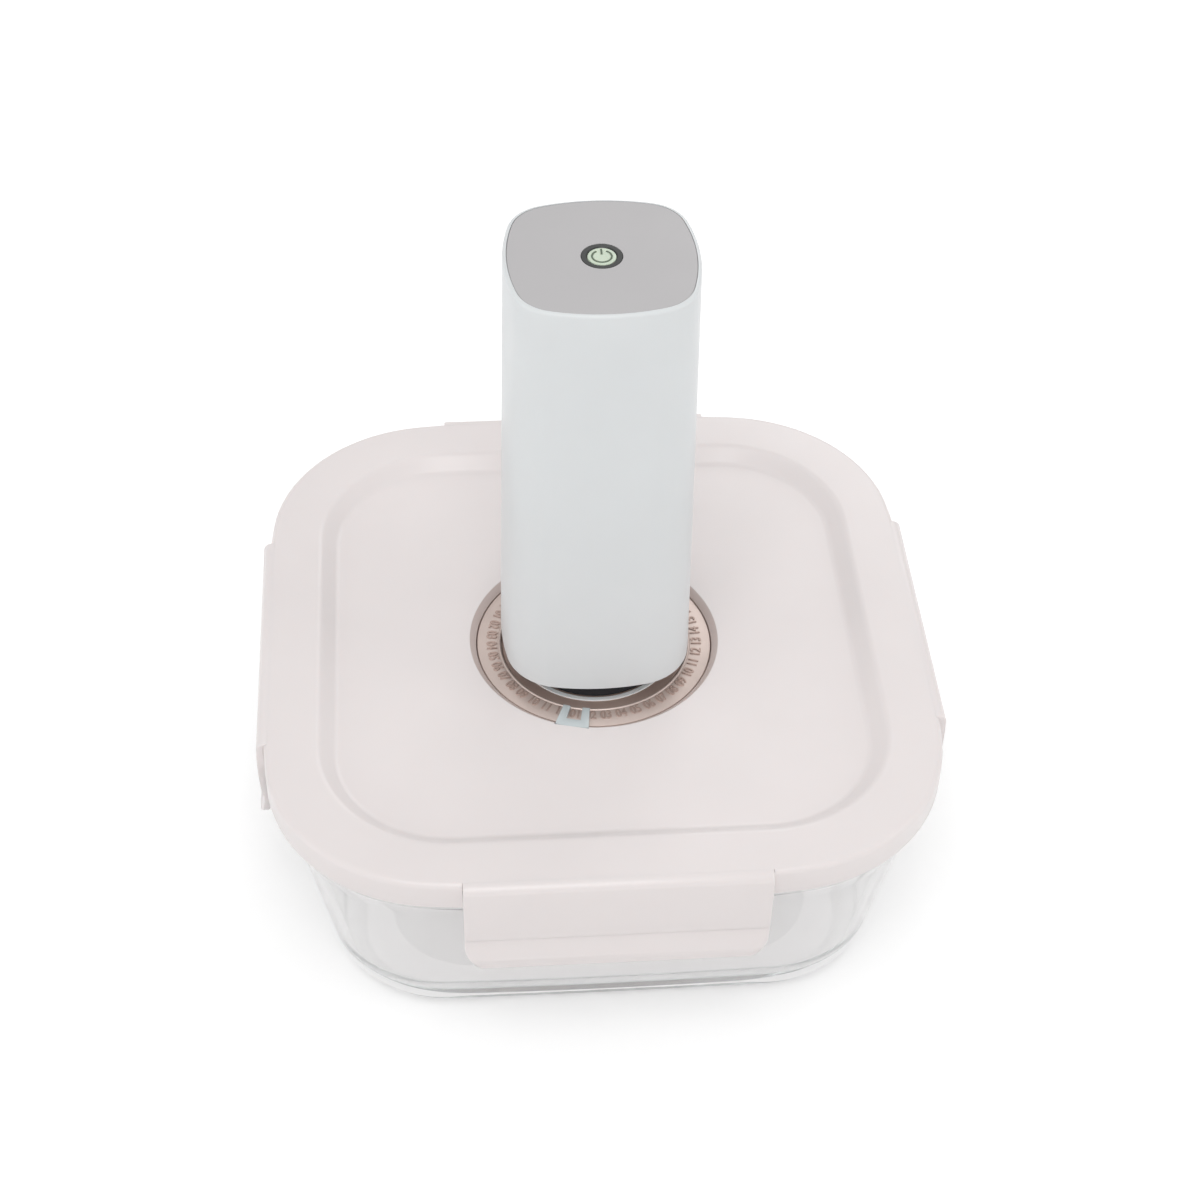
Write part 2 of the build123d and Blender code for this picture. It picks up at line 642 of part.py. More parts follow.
with BuildPart() as inner_frame:
    with BuildSketch(Plane.XY.offset(cover_top)):
        with PolarLocations(corner_ring, sides, start_angle=corner_start):
            Circle(leg_radius)
    extrude(amount=leg_height)
    with BuildSketch(Plane.XY.offset(floor_under)):
        pump_outline(floor_under, frame_inset)
        Circle(tube_radius + fit_gap, mode=Mode.SUBTRACT)
    extrude(amount=frame_skin)
    with BuildSketch(on_diagonal(floor_under)):
        with Locations((web_middle, 0)):
            Rectangle(web_wall, 2 * web_half)
    extrude(amount=deck_top - floor_under)
    with BuildSketch(on_diagonal(shelf_under)):
        with Locations((battery_offset, 0)):
            Circle(battery_radius)
        with Locations((web_middle, 0)):
            Rectangle(battery_offset - web_middle, 2 * battery_radius, align=(Align.MIN, Align.CENTER))
    extrude(amount=frame_skin)
    with BuildSketch(Plane.XY.offset(deck_under)):
        pump_outline(deck_top, frame_inset)
        Circle(deck_opening, mode=Mode.SUBTRACT)
    extrude(amount=frame_skin)
    with BuildSketch(Plane.XY.offset(deck_under)):
        with PolarLocations(post_ring, sides, start_angle=corner_start):
            Circle(post_radius)
    extrude(amount=ledge_under - deck_under)
    with BuildSketch(Plane.XY.offset(deck_under)):
        with PolarLocations(board_post_ring, board_post_count, start_angle=board_post_start):
            Circle(board_post_radius)
    extrude(amount=board_under - deck_under)
    # windows in the web for the leads
    with BuildSketch(Plane(origin=(0, 0, (shelf_under + floor_top) / 2), x_dir=(1, -1, 0),
                           z_dir=(1, 1, 0))):
        with GridLocations(0, web_window_pitch, 1, web_window_count):
            RectangleRounded(web_window_width, web_window_height, leg_radius)
    extrude(amount=battery_offset, mode=Mode.SUBTRACT)
    # screw holes: cover screws, housing screws, board screws and the pump's screws
    with Locations(Plane(origin=(0, 0, cover_top), z_dir=(0, 0, -1))):
        with PolarLocations(corner_ring, sides, start_angle=corner_start):
            Hole(screw_shank + fit_gap, depth=leg_height + frame_skin)
    with Locations((0, 0, ledge_under)):
        with PolarLocations(post_ring, sides, start_angle=corner_start):
            Hole(screw_shank + fit_gap, depth=ledge_under - deck_top)
    with Locations((0, 0, board_under)):
        with PolarLocations(board_post_ring, board_post_count, start_angle=board_post_start):
            Hole(screw_shank + fit_gap, depth=board_under - deck_top)
    with Locations(on_diagonal(floor_top)):
        with Locations((-motor_offset, 0)):
            with PolarLocations(block_screw_ring, block_screw_count, start_angle=block_screw_start):
                Hole(screw_shank + fit_gap, depth=frame_skin)
inner_frame.part.label = "inner_frame"
export_step(inner_frame.part, "parts/inner_frame.step")

# Pump head: valve block with the inlet, three chambers under the diaphragm
head_height = 8.0
nozzle_drop = 2.6
chamber_count = 3
chamber_ring = 5.2
chamber_radius = 3.2
chamber_depth = 1.0
head_top = floor_top + head_height
with BuildPart() as pump_head:
    with BuildSketch(on_diagonal(floor_top)):
        with Locations((-motor_offset, 0)):
            Circle(pump_block_radius)
    extrude(amount=head_height)
    with BuildSketch(Plane.XY.offset(floor_top - nozzle_drop)):
        Circle(nipple_radius)
    extrude(amount=nozzle_drop)
    with Locations((0, 0, floor_top + head_height / 2)):
        Hole(inlet_bore, depth=head_height / 2 + nozzle_drop)
    with Locations(on_diagonal(head_top)):
        with Locations((-motor_offset, 0)):
            with PolarLocations(chamber_ring, chamber_count):
                Hole(chamber_radius, depth=chamber_depth)
            with PolarLocations(block_screw_ring, block_screw_count, start_angle=block_screw_start):
                Hole(screw_shank + fit_gap, depth=head_height)
pump_head.part.label = "pump_head"
export_step(pump_head.part, "parts/pump_head.step")

# Intake tube: soft sleeve from the cover's nipple to the head's nozzle
with BuildPart() as intake_tube:
    with BuildSketch(Plane.XY.offset(cover_top)):
        Circle(tube_radius)
        Circle(nipple_radius + fit_gap / 2, mode=Mode.SUBTRACT)
    extrude(amount=floor_top - cover_top)
intake_tube.part.label = "intake_tube"
export_step(intake_tube.part, "parts/intake_tube.step")

# Diaphragm: rubber sheet with three cups, each with a post for the drive plate
sheet_thickness = 1.2
cup_radius = 3.6
cup_rise = 2.6
post_shoulder_radius = 1.7
post_shoulder_height = 3.8
post_tip_radius = 1.1
drive_plate_thickness = 1.8
sheet_top = head_top + sheet_thickness
drive_plate_under = sheet_top + cup_rise + post_shoulder_height
drive_plate_top = drive_plate_under + drive_plate_thickness
with BuildPart() as diaphragm:
    with BuildSketch(on_diagonal(head_top)):
        with Locations((-motor_offset, 0)):
            Circle(pump_block_radius)
            with PolarLocations(block_screw_ring, block_screw_count, start_angle=block_screw_start):
                Circle(screw_shank + fit_gap, mode=Mode.SUBTRACT)
    extrude(amount=sheet_thickness)
    with BuildSketch(on_diagonal(sheet_top)):
        with Locations((-motor_offset, 0)):
            with PolarLocations(chamber_ring, chamber_count):
                Circle(cup_radius)
    extrude(amount=cup_rise)
    with BuildSketch(on_diagonal(sheet_top)):
        with Locations((-motor_offset, 0)):
            with PolarLocations(chamber_ring, chamber_count):
                Circle(post_shoulder_radius)
    extrude(amount=drive_plate_under - sheet_top)
    with BuildSketch(on_diagonal(sheet_top)):
        with Locations((-motor_offset, 0)):
            with PolarLocations(chamber_ring, chamber_count):
                Circle(post_tip_radius)
    extrude(amount=drive_plate_top - sheet_top)
diaphragm.part.label = "diaphragm"
export_step(diaphragm.part, "parts/diaphragm.step")

# Drive plate: sits on the diaphragm's posts, and the crank pin wobbles it at its hub
crank_offset = 1.2
crank_pin_radius = 1.0
drive_plate_radius = 7.6
hub_radius = 3.6
hub_height = 1.6
with BuildPart() as drive_plate:
    with BuildSketch(on_diagonal(drive_plate_under)):
        with Locations((-motor_offset, 0)):
            Circle(drive_plate_radius)
            with PolarLocations(chamber_ring, chamber_count):
                Circle(post_tip_radius + fit_gap, mode=Mode.SUBTRACT)
    extrude(amount=drive_plate_thickness)
    with BuildSketch(on_diagonal(drive_plate_top)):
        with Locations((-motor_offset, 0)):
            Circle(hub_radius)
    extrude(amount=hub_height)
    with Locations(on_diagonal(drive_plate_top + hub_height)):
        with Locations((-motor_offset, 0)):
            Hole(crank_offset + crank_pin_radius + fit_gap)
drive_plate.part.label = "drive_plate"
export_step(drive_plate.part, "parts/drive_plate.step")

# Crank housing: holds the diaphragm down on the head and carries the motor
crank_housing_height = 22.0
crank_cavity = 9.6
motor_plate_wall = 2.0
motor_boss_radius = 3.0
motor_boss_height = 1.6
motor_screw_ring = 7.4
motor_screw_count = 2
motor_seat = sheet_top + crank_housing_height
with BuildPart() as crank_housing:
    with BuildSketch(on_diagonal(sheet_top)):
        with Locations((-motor_offset, 0)):
            Circle(pump_block_radius)
    extrude(amount=crank_housing_height)
    with Locations(on_diagonal(sheet_top)):
        with Locations((-motor_offset, 0)):
            Cylinder(crank_cavity, crank_housing_height - motor_plate_wall,
                     align=(Align.CENTER, Align.CENTER, Align.MIN), mode=Mode.SUBTRACT)
    with Locations(on_diagonal(motor_seat)):
        with Locations((-motor_offset, 0)):
            Hole(motor_boss_radius + fit_gap, depth=motor_plate_wall)
            with PolarLocations(motor_screw_ring, motor_screw_count):
                Hole(screw_shank + fit_gap, depth=motor_plate_wall)
    block_screw_bite = 6.0
    with Locations(on_diagonal(sheet_top + block_screw_bite)):
        with Locations((-motor_offset, 0)):
            with PolarLocations(block_screw_ring, block_screw_count, start_angle=block_screw_start):
                Hole(screw_shank + fit_gap, depth=block_screw_bite)
crank_housing.part.label = "crank_housing"
export_step(crank_housing.part, "parts/crank_housing.step")

# Motor: drawn can with a front boss, two magnets, an end cap with the terminals, and the rotor
can_radius = 12.2
can_length = 29.0
can_wall = 1.0
shaft_radius = 1.0
shaft_fit = 0.05
magnet_thickness = 1.1
magnet_gap = 0.4           # armature to the magnets
magnet_start = 4.4         # from each end of the can's inside
magnet_span = 150.0        # angle of one magnet
end_cap_height = 2.4
terminal_width = 2.4
terminal_height = 4.0
terminal_thickness = 0.5
terminal_ring = 8.4
crank_disc_radius = 4.8
crank_disc_height = 5.0
crank_disc_lift = 0.6      # drive plate's hub up to the crank disc
crank_pin_depth = 2.4      # how deep the pin reaches into the hub
shaft_tail = 1.0
can_top = motor_seat + can_length
can_inner = can_radius - can_wall
magnet_inner = can_inner - magnet_thickness
armature_radius = magnet_inner - magnet_gap
crank_disc_under = drive_plate_top + hub_height + crank_disc_lift

with BuildPart() as motor_can:
    with BuildSketch(Plane(origin=on_diagonal(0).from_local_coords((-motor_offset, 0, 0)),
                           x_dir=(1, 1, 0), z_dir=(1, -1, 0))):
        with BuildLine():
            Polyline((shaft_radius + shaft_fit, motor_seat - motor_boss_height),
                     (motor_boss_radius, motor_seat - motor_boss_height),
                     (motor_boss_radius, motor_seat), (can_radius, motor_seat), (can_radius, can_top),
                     (can_inner, can_top), (can_inner, motor_seat + can_wall),
                     (shaft_radius + shaft_fit, motor_seat + can_wall), close=True)
        make_face()
    revolve(axis=Axis(on_diagonal(0).from_local_coords((-motor_offset, 0, 0)), (0, 0, 1)))
    with Locations(on_diagonal(motor_seat + can_wall)):
        with Locations((-motor_offset, 0)):
            with PolarLocations(motor_screw_ring, motor_screw_count):
                Hole(screw_shank + fit_gap, depth=can_wall)
motor_can.part.label = "motor_can"
export_step(motor_can.part, "parts/motor_can.step")

with BuildPart() as motor_magnets:
    with BuildSketch(on_diagonal(motor_seat + can_wall + magnet_start)):
        with Locations((-motor_offset, 0)):
            Circle(can_inner)
            Circle(magnet_inner, mode=Mode.SUBTRACT)
            gap_width = 2 * can_inner * sin(radians((2 * quarter_turn - magnet_span) / 2))
            Rectangle(gap_width, 2 * can_radius, mode=Mode.SUBTRACT)
    extrude(amount=can_length - can_wall - end_cap_height - 2 * magnet_start)
motor_magnets.part.label = "motor_magnets"
export_step(motor_magnets.part, "parts/motor_magnets.step")

with BuildPart() as motor_end_cap:
    with BuildSketch(on_diagonal(can_top - end_cap_height)):
        with Locations((-motor_offset, 0)):
            Circle(can_inner)
            Circle(shaft_radius + shaft_fit, mode=Mode.SUBTRACT)
    extrude(amount=end_cap_height)
    with BuildSketch(on_diagonal(can_top)):
        with Locations((-motor_offset, 0)):
            with PolarLocations(terminal_ring, motor_screw_count):
                Rectangle(terminal_thickness, terminal_width)
    extrude(amount=terminal_height)
motor_end_cap.part.label = "motor_end_cap"
export_step(motor_end_cap.part, "parts/motor_end_cap.step")

with BuildPart() as motor_rotor:
    with BuildSketch(on_diagonal(crank_disc_under)):
        with Locations((-motor_offset, 0)):
            Circle(crank_disc_radius)
    extrude(amount=crank_disc_height)
    with BuildSketch(on_diagonal(crank_disc_under)):
        with Locations((-motor_offset, 0)):
            Circle(shaft_radius)
    extrude(amount=can_top + shaft_tail - crank_disc_under)
    with BuildSketch(on_diagonal(motor_seat + can_wall + magnet_start)):
        with Locations((-motor_offset, 0)):
            Circle(armature_radius)
    extrude(amount=can_length - can_wall - end_cap_height - 2 * magnet_start)
    with BuildSketch(on_diagonal(crank_disc_under - crank_disc_lift - crank_pin_depth)):
        with Locations((crank_offset - motor_offset, 0)):
            Circle(crank_pin_radius)
    extrude(amount=crank_disc_lift + crank_pin_depth)
motor_rotor.part.label = "motor_rotor"
export_step(motor_rotor.part, "parts/motor_rotor.step")

# Battery and its two contacts
contact_half = 4.0
with BuildPart() as battery_cell:
    with BuildSketch(on_diagonal(battery_bottom)):
        with Locations((battery_offset, 0)):
            Circle(battery_radius)
    extrude(amount=battery_height)
    fillet(battery_cell.edges(), contact_thickness)
    with BuildSketch(on_diagonal(battery_top)):
        with Locations((battery_offset, 0)):
            Circle(battery_tip_radius)
    extrude(amount=battery_tip_height)
battery_cell.part.label = "battery_cell"
export_step(battery_cell.part, "parts/battery_cell.step")

with BuildPart() as battery_contacts:
    for contact_level in (floor_top, shelf_under - contact_thickness):
        with BuildSketch(on_diagonal(contact_level)):
            with Locations((battery_offset, 0)):
                Rectangle(2 * contact_half, 2 * contact_half)
        extrude(amount=contact_thickness)
battery_contacts.part.label = "battery_contacts"
export_step(battery_contacts.part, "parts/battery_contacts.step")

# Circuit board on the frame's posts, with the switch, the light ring and the charging socket
switch_width = 6.0
switch_height = 3.4
switch_floor = 1.0
plunger_radius = 1.7
light_inner = 5.0
light_outer = 6.2
socket_depth = 7.3
socket_wall = 0.3
tongue_width = 6.7
tongue_thickness = 0.7
socket_round = 1.2
socket_inset = 0.3         # the socket's mouth stays this far inside the housing's wall
with BuildPart() as circuit_board:
    with BuildSketch(Plane.XY.offset(board_under)):
        pump_outline(board_top, frame_inset)
        with PolarLocations(post_ring, sides, start_angle=corner_start):
            Circle(post_radius + seat_gap, mode=Mode.SUBTRACT)
            Rectangle(2 * post_radius, 2 * (post_radius + seat_gap), align=(Align.MIN, Align.CENTER),
                      mode=Mode.SUBTRACT)
        with PolarLocations(board_post_ring, board_post_count, start_angle=board_post_start):
            Circle(screw_shank + fit_gap, mode=Mode.SUBTRACT)
    extrude(amount=board_thickness)
circuit_board.part.label = "circuit_board"
export_step(circuit_board.part, "parts/circuit_board.step")

with BuildPart() as tact_switch:
    with BuildSketch(Plane.XY.offset(board_top)):
        Rectangle(switch_width, switch_width)
    extrude(amount=switch_height)
    with Locations((0, 0, board_top + switch_height)):
        Hole(plunger_radius + fit_gap, depth=switch_height - switch_floor)
tact_switch.part.label = "tact_switch"
export_step(tact_switch.part, "parts/tact_switch.step")

# Top: grey panel, dark ring round the button, the button and the plunger under it
bezel_inner = 3.6
bezel_wall = 1.4
bezel_flange_reach = 1.3   # how far the ring's flange goes under the panel
bezel_flange_height = 0.9
button_flange_reach = 0.8  # how far the button's flange goes under the ring
button_flange_height = 0.8
button_rest_gap = 0.05     # between the button's flange and the ring that stops it
button_travel = 0.8
bezel_outer = bezel_inner + bezel_wall
bezel_flange = bezel_outer + bezel_flange_reach
button_flange = bezel_inner + button_flange_reach
bezel_under = panel_seat - bezel_flange_height
button_under = bezel_under - button_rest_gap - button_flange_height
with BuildPart() as top_panel:
    with BuildSketch(Plane.XY.offset(panel_seat)):
        pump_outline(pump_top, pump_edge_round + fit_gap)
        Circle(bezel_outer + fit_gap / 2, mode=Mode.SUBTRACT)
    extrude(amount=top_panel_skin)
top_panel.part.label = "top_panel"
export_step(top_panel.part, "parts/top_panel.step")

with BuildPart() as button_bezel:
    with BuildSketch(Plane.XY.offset(bezel_under)):
        Circle(bezel_flange)
    extrude(amount=bezel_flange_height)
    with BuildSketch(Plane.XY.offset(bezel_under)):
        Circle(bezel_outer)
    extrude(amount=pump_top - bezel_under)
    with Locations((0, 0, pump_top)):
        Hole(bezel_inner)
button_bezel.part.label = "button_bezel"
export_step(button_bezel.part, "parts/button_bezel.step")

with BuildPart() as power_button:
    with BuildSketch(Plane.XY.offset(button_under)):
        Circle(bezel_inner - fit_gap)
    extrude(amount=pump_top - button_under)
    fillet(power_button.edges().group_by(Axis.Z)[-1], seat_gap)
    with BuildSketch(Plane.XY.offset(button_under)):
        Circle(button_flange)
    extrude(amount=button_flange_height)
power_button.part.label = "power_button"
export_step(power_button.part, "parts/power_button.step")

with BuildPart() as switch_plunger:
    plunger_under = board_top + switch_floor + button_travel + fit_gap
    with BuildSketch(Plane.XY.offset(plunger_under)):
        Circle(plunger_radius)
    extrude(amount=button_under - plunger_under)
switch_plunger.part.label = "switch_plunger"
export_step(switch_plunger.part, "parts/switch_plunger.step")

with BuildPart() as light_ring:
    with BuildSketch(Plane.XY.offset(board_top)):
        Circle(light_outer)
        Circle(light_inner, mode=Mode.SUBTRACT)
    extrude(amount=bezel_under - seat_gap - board_top)
light_ring.part.label = "light_ring"
export_step(light_ring.part, "parts/light_ring.step")

with BuildPart() as charge_socket:
    socket_mouth = pump_top_half - pump_wall - socket_inset
    with BuildSketch(Plane.XZ.offset(-socket_mouth)):
        with Locations((0, board_top + socket_height / 2)):
            RectangleRounded(socket_width, socket_height, socket_round)
    extrude(amount=socket_depth)
    with BuildSketch(Plane.XZ.offset(-socket_mouth)):
        with Locations((0, board_top + socket_height / 2)):
            RectangleRounded(socket_width - 2 * socket_wall, socket_height - 2 * socket_wall,
                             socket_round - socket_wall)
            Rectangle(tongue_width, tongue_thickness, mode=Mode.SUBTRACT)
    extrude(amount=socket_depth - 2 * socket_wall, mode=Mode.SUBTRACT)
charge_socket.part.label = "charge_socket"
export_step(charge_socket.part, "parts/charge_socket.step")

# Screws: cover to frame legs, housing to frame posts, board to frame, pump block to frame floor,
# and motor to crank housing
with BuildPart() as cover_screws:
    with Locations((0, 0, cover_under + screw_head_height + screw_recess)):
        with PolarLocations(corner_ring, sides, start_angle=corner_start):
            add_screw(cover_skin + leg_height - screw_head_height, True)
cover_screws.part.label = "cover_screws"
export_step(cover_screws.part, "parts/cover_screws.step")

with BuildPart() as housing_screws:
    with Locations((0, 0, panel_seat - screw_head_height - screw_recess)):
        with PolarLocations(post_ring, sides, start_angle=corner_start):
            add_screw(leg_height + frame_skin, False)
housing_screws.part.label = "housing_screws"
export_step(housing_screws.part, "parts/housing_screws.step")

with BuildPart() as board_screws:
    with Locations((0, 0, board_top)):
        with PolarLocations(board_post_ring, board_post_count, start_angle=board_post_start):
            add_screw(board_thickness + deck_drop - screw_recess, False)
board_screws.part.label = "board_screws"
export_step(board_screws.part, "parts/board_screws.step")

with BuildPart() as pump_screws:
    with Locations(on_diagonal(floor_under)):
        with Locations((-motor_offset, 0)):
            with PolarLocations(block_screw_ring, block_screw_count, start_angle=block_screw_start):
                add_screw(sheet_top + block_screw_bite - screw_recess - floor_under, True)
pump_screws.part.label = "pump_screws"
export_step(pump_screws.part, "parts/pump_screws.step")

with BuildPart() as motor_screws:
    with Locations(on_diagonal(motor_seat - motor_plate_wall)):
        with Locations((-motor_offset, 0)):
            with PolarLocations(motor_screw_ring, motor_screw_count):
                add_screw(motor_plate_wall + can_wall, True)
motor_screws.part.label = "motor_screws"
export_step(motor_screws.part, "parts/motor_screws.step")
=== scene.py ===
# %% [markdown]
# # A glass food dish with a vacuum lid and its pump
#
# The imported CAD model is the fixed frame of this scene. It has every piece at its real size, with
# plain facets. This lesson dresses it: the pieces that show get smooth surfaces made from a few
# sizes, and every piece gets a material made of nodes. Nothing here moves a CAD piece.

# %% Load the frame
import json
import math

import bmesh
import bpy
import numpy as np
from mathutils import Matrix, Vector


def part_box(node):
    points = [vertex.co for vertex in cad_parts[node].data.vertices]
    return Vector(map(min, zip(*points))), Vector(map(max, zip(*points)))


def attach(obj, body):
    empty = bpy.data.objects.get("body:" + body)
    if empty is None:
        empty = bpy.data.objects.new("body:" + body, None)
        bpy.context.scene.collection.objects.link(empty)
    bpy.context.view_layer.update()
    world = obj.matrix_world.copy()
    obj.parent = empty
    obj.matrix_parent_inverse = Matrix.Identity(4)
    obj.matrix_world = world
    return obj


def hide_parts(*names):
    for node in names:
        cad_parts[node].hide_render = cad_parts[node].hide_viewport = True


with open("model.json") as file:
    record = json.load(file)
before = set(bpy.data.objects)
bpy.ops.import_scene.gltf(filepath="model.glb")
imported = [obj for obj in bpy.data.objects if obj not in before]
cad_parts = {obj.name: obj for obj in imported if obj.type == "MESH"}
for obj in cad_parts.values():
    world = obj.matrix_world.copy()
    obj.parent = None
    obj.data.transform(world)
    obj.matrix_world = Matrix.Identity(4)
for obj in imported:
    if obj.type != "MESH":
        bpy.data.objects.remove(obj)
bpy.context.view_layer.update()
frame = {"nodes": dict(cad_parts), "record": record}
nodes = frame["nodes"]
MM = 0.001

# %% [markdown]
# ## Camera
#
# A camera can be placed by eye, but then no edge of the render lies where the photograph has it.
# Here its place, its turn and its lens were solved from points whose real places are known from
# the object's own shape: the square rim, the round dial and the pump. The three angles are the way
# it looks round, how far it looks down, and a small tilt of the picture.

# %% Camera
camera_place = Vector((-39.5, -463.4, 528.5)) * MM
look_round = math.radians(-5.05)
look_down = math.radians(43.95)
picture_tilt = math.radians(1.34)
lens_pixels = 2399.1
picture_pixels = 1200.0
sensor_mm = 36.0

forward = Vector((math.sin(-look_round) * math.cos(look_down),
                  math.cos(look_round) * math.cos(look_down), -math.sin(look_down)))
level_right = forward.cross(Vector((0, 0, 1))).normalized()
level_up = level_right.cross(forward)
right = level_right * math.cos(picture_tilt) + level_up * math.sin(picture_tilt)
up = level_up * math.cos(picture_tilt) - level_right * math.sin(picture_tilt)

camera_data = bpy.data.cameras.new("photo_camera")
camera_data.sensor_width = sensor_mm
camera_data.lens = lens_pixels / picture_pixels * sensor_mm
camera_data.clip_start, camera_data.clip_end = 0.01, 20.0
camera = bpy.data.objects.new("photo_camera", camera_data)
bpy.context.scene.collection.objects.link(camera)
turn = Matrix((right, up, -forward)).transposed().to_4x4()
camera.matrix_world = Matrix.Translation(camera_place) @ turn
bpy.context.scene.camera = camera
print("lens", round(camera_data.lens, 2), "mm")

# %% [markdown]
# ## Node helpers
#
# Every material below is a small tree of nodes that reads Object coordinates, so its pattern is
# made of real millimetres and stays with its piece. A few helpers keep the cells short: they start
# a material, add a node with its links, do a sum, and map a value from one range to another.

# %% Start a material
def empty_material(name):
    """A new material with an output and Object coordinates, and nothing else."""
    material = bpy.data.materials.new(name)
    material.use_nodes = True
    tree = material.node_tree
    tree.nodes.clear()
    output = tree.nodes.new("ShaderNodeOutputMaterial")
    place = tree.nodes.new("ShaderNodeTexCoord")
    return material, tree, output, place.outputs["Object"]


def start_material(name):
    """A new material with a Principled shader and Object coordinates; returns its parts."""
    material, tree, output, place = empty_material(name)
    shader = tree.nodes.new("ShaderNodeBsdfPrincipled")
    tree.links.new(shader.outputs["BSDF"], output.inputs["Surface"])
    return material, tree, shader, place


# %% Add nodes
def add_node(tree, kind, links=None, **values):
    """Add a node to a tree, set its properties and inputs, and link the outputs given."""
    node = tree.nodes.new(kind)
    for key, value in values.items():
        if hasattr(node, key):
            setattr(node, key, value)
        else:
            node.inputs[key.replace("_", " ")].default_value = value
    for key, source in (links or {}).items():
        tree.links.new(source, node.inputs[key])
    return node


def maths(tree, operation, *terms):
    """Output of a maths node; each term is another node's output or a plain number."""
    node = add_node(tree, "ShaderNodeMath", operation=operation)
    for socket, term in zip(node.inputs, terms):
        if isinstance(term, (int, float)):
            socket.default_value = term
        else:
            tree.links.new(term, socket)
    return node.outputs[0]


def ranged(tree, value, wanted, given=(0.0, 1.0)):
    """A value mapped from a given range to the range that is wanted."""
    node = add_node(tree, "ShaderNodeMapRange", {"Value": value}, From_Min=given[0], From_Max=given[1],
                    To_Min=wanted[0], To_Max=wanted[1])
    return node.outputs["Result"]


def bumped(tree, shader, height, strength, height_mm):
    """Bump of a shader's surface from a pattern of heights."""
    bump = add_node(tree, "ShaderNodeBump", {"Height": height}, Strength=strength, Distance=height_mm * MM)
    tree.links.new(bump.outputs["Normal"], shader.inputs["Normal"])


# %% Colour, gloss and grain
NOISE_SPAN = (0.3, 0.7)            # the values that most of a noise pattern lies between


def patches(tree, place, size_mm, detail):
    """Noise with patches of the size given."""
    noise = add_node(tree, "ShaderNodeTexNoise", {"Vector": place}, Scale=1 / (size_mm * MM), Detail=detail)
    return noise.outputs["Fac"]


def tint(tree, shader, place, colour, spread, size_mm):
    """Base colour that drifts a little, as moulded plastic does; spread is the share of change."""
    ramp = add_node(tree, "ShaderNodeValToRGB", {"Fac": patches(tree, place, size_mm, 3.0)})
    low, high = ramp.color_ramp.elements
    low.position, high.position = NOISE_SPAN
    low.color = [*(channel * (1 - spread) for channel in colour), 1]
    high.color = [*(min(channel * (1 + spread), 1) for channel in colour), 1]
    tree.links.new(ramp.outputs["Color"], shader.inputs["Base Color"])


def gloss(tree, shader, place, low, high, size_mm):
    """Roughness that varies between two values over patches of the size given."""
    spread = ranged(tree, patches(tree, place, size_mm, 4.0), (low, high), NOISE_SPAN)
    tree.links.new(spread, shader.inputs["Roughness"])


def grain(tree, shader, place, size_mm, height_mm, strength):
    """A fine moulded grain as a bump."""
    bumped(tree, shader, patches(tree, place, size_mm, 2.0), strength, height_mm)


# %% [markdown]
# ## Finishes of the parts that show
#
# Pale plastics look flat when they get one colour. The real ones scatter a little light under the
# skin, have a soft sheen with slightly uneven gloss, and a grain of a fraction of a millimetre.
# The colours are written as they should appear under the plain light of this scene.

# %% Plastics and rubber
def srgb(red, green, blue):
    """Linear colour of the sRGB values 0 to 255 that a surface should show."""
    def linear(value):
        value = value / 255
        return value / 12.92 if value <= 0.04045 else ((value + 0.055) / 1.055) ** 2.4
    return tuple(linear(value) for value in (red, green, blue))


def moulded(name, colour, rough, coat=0.0, scatter=0.0, grain_mm=0.5, spread=0.012):
    """A moulded plastic or rubber with drifting tone, uneven gloss and fine grain."""
    material, tree, shader, place = start_material(name)
    drift_mm, gloss_mm, grain_depth_mm, grain_strength = 30, 12, 0.02, 0.12
    tint(tree, shader, place, colour, spread, drift_mm)
    gloss(tree, shader, place, rough - 0.03, rough + 0.04, gloss_mm)
    grain(tree, shader, place, grain_mm, grain_depth_mm, grain_strength)
    shader.inputs["Coat Weight"].default_value = coat
    shader.inputs["Coat Roughness"].default_value = 0.12
    if scatter:
        shader.inputs["Subsurface Weight"].default_value = scatter
        shader.inputs["Subsurface Radius"].default_value = (1.0, 0.8, 0.7)
        shader.inputs["Subsurface Scale"].default_value = 1.2 * MM
    return material


lid_pink = moulded("lid_pink", srgb(233, 226, 225), 0.34, coat=0.15, scatter=0.1)
pump_white = moulded("pump_white", srgb(222, 225, 226), 0.38, coat=0.1, scatter=0.08, grain_mm=0.35)
panel_grey = moulded("panel_grey", srgb(187, 185, 186), 0.5, grain_mm=0.3)
ring_dark = moulded("ring_dark", srgb(50, 52, 51), 0.4)
button_green = moulded("button_green", srgb(206, 219, 199), 0.4, scatter=0.15)
gasket_black = moulded("gasket_black", srgb(36, 37, 42), 0.6, grain_mm=0.8, spread=0.05)
seal_milky = moulded("seal_milky", srgb(222, 222, 218), 0.55, scatter=0.3)
marker_blue = moulded("marker_blue", srgb(204, 212, 214), 0.3, coat=0.2, scatter=0.1, grain_mm=0.4)
ring_white = moulded("ring_white", srgb(246, 248, 248), 0.22, coat=0.5, scatter=0.3, grain_mm=0.4)
symbol_ink = moulded("symbol_ink", srgb(98, 112, 94), 0.5)
print("plastics:", [m.name for m in (lid_pink, pump_white, panel_grey, ring_dark)])
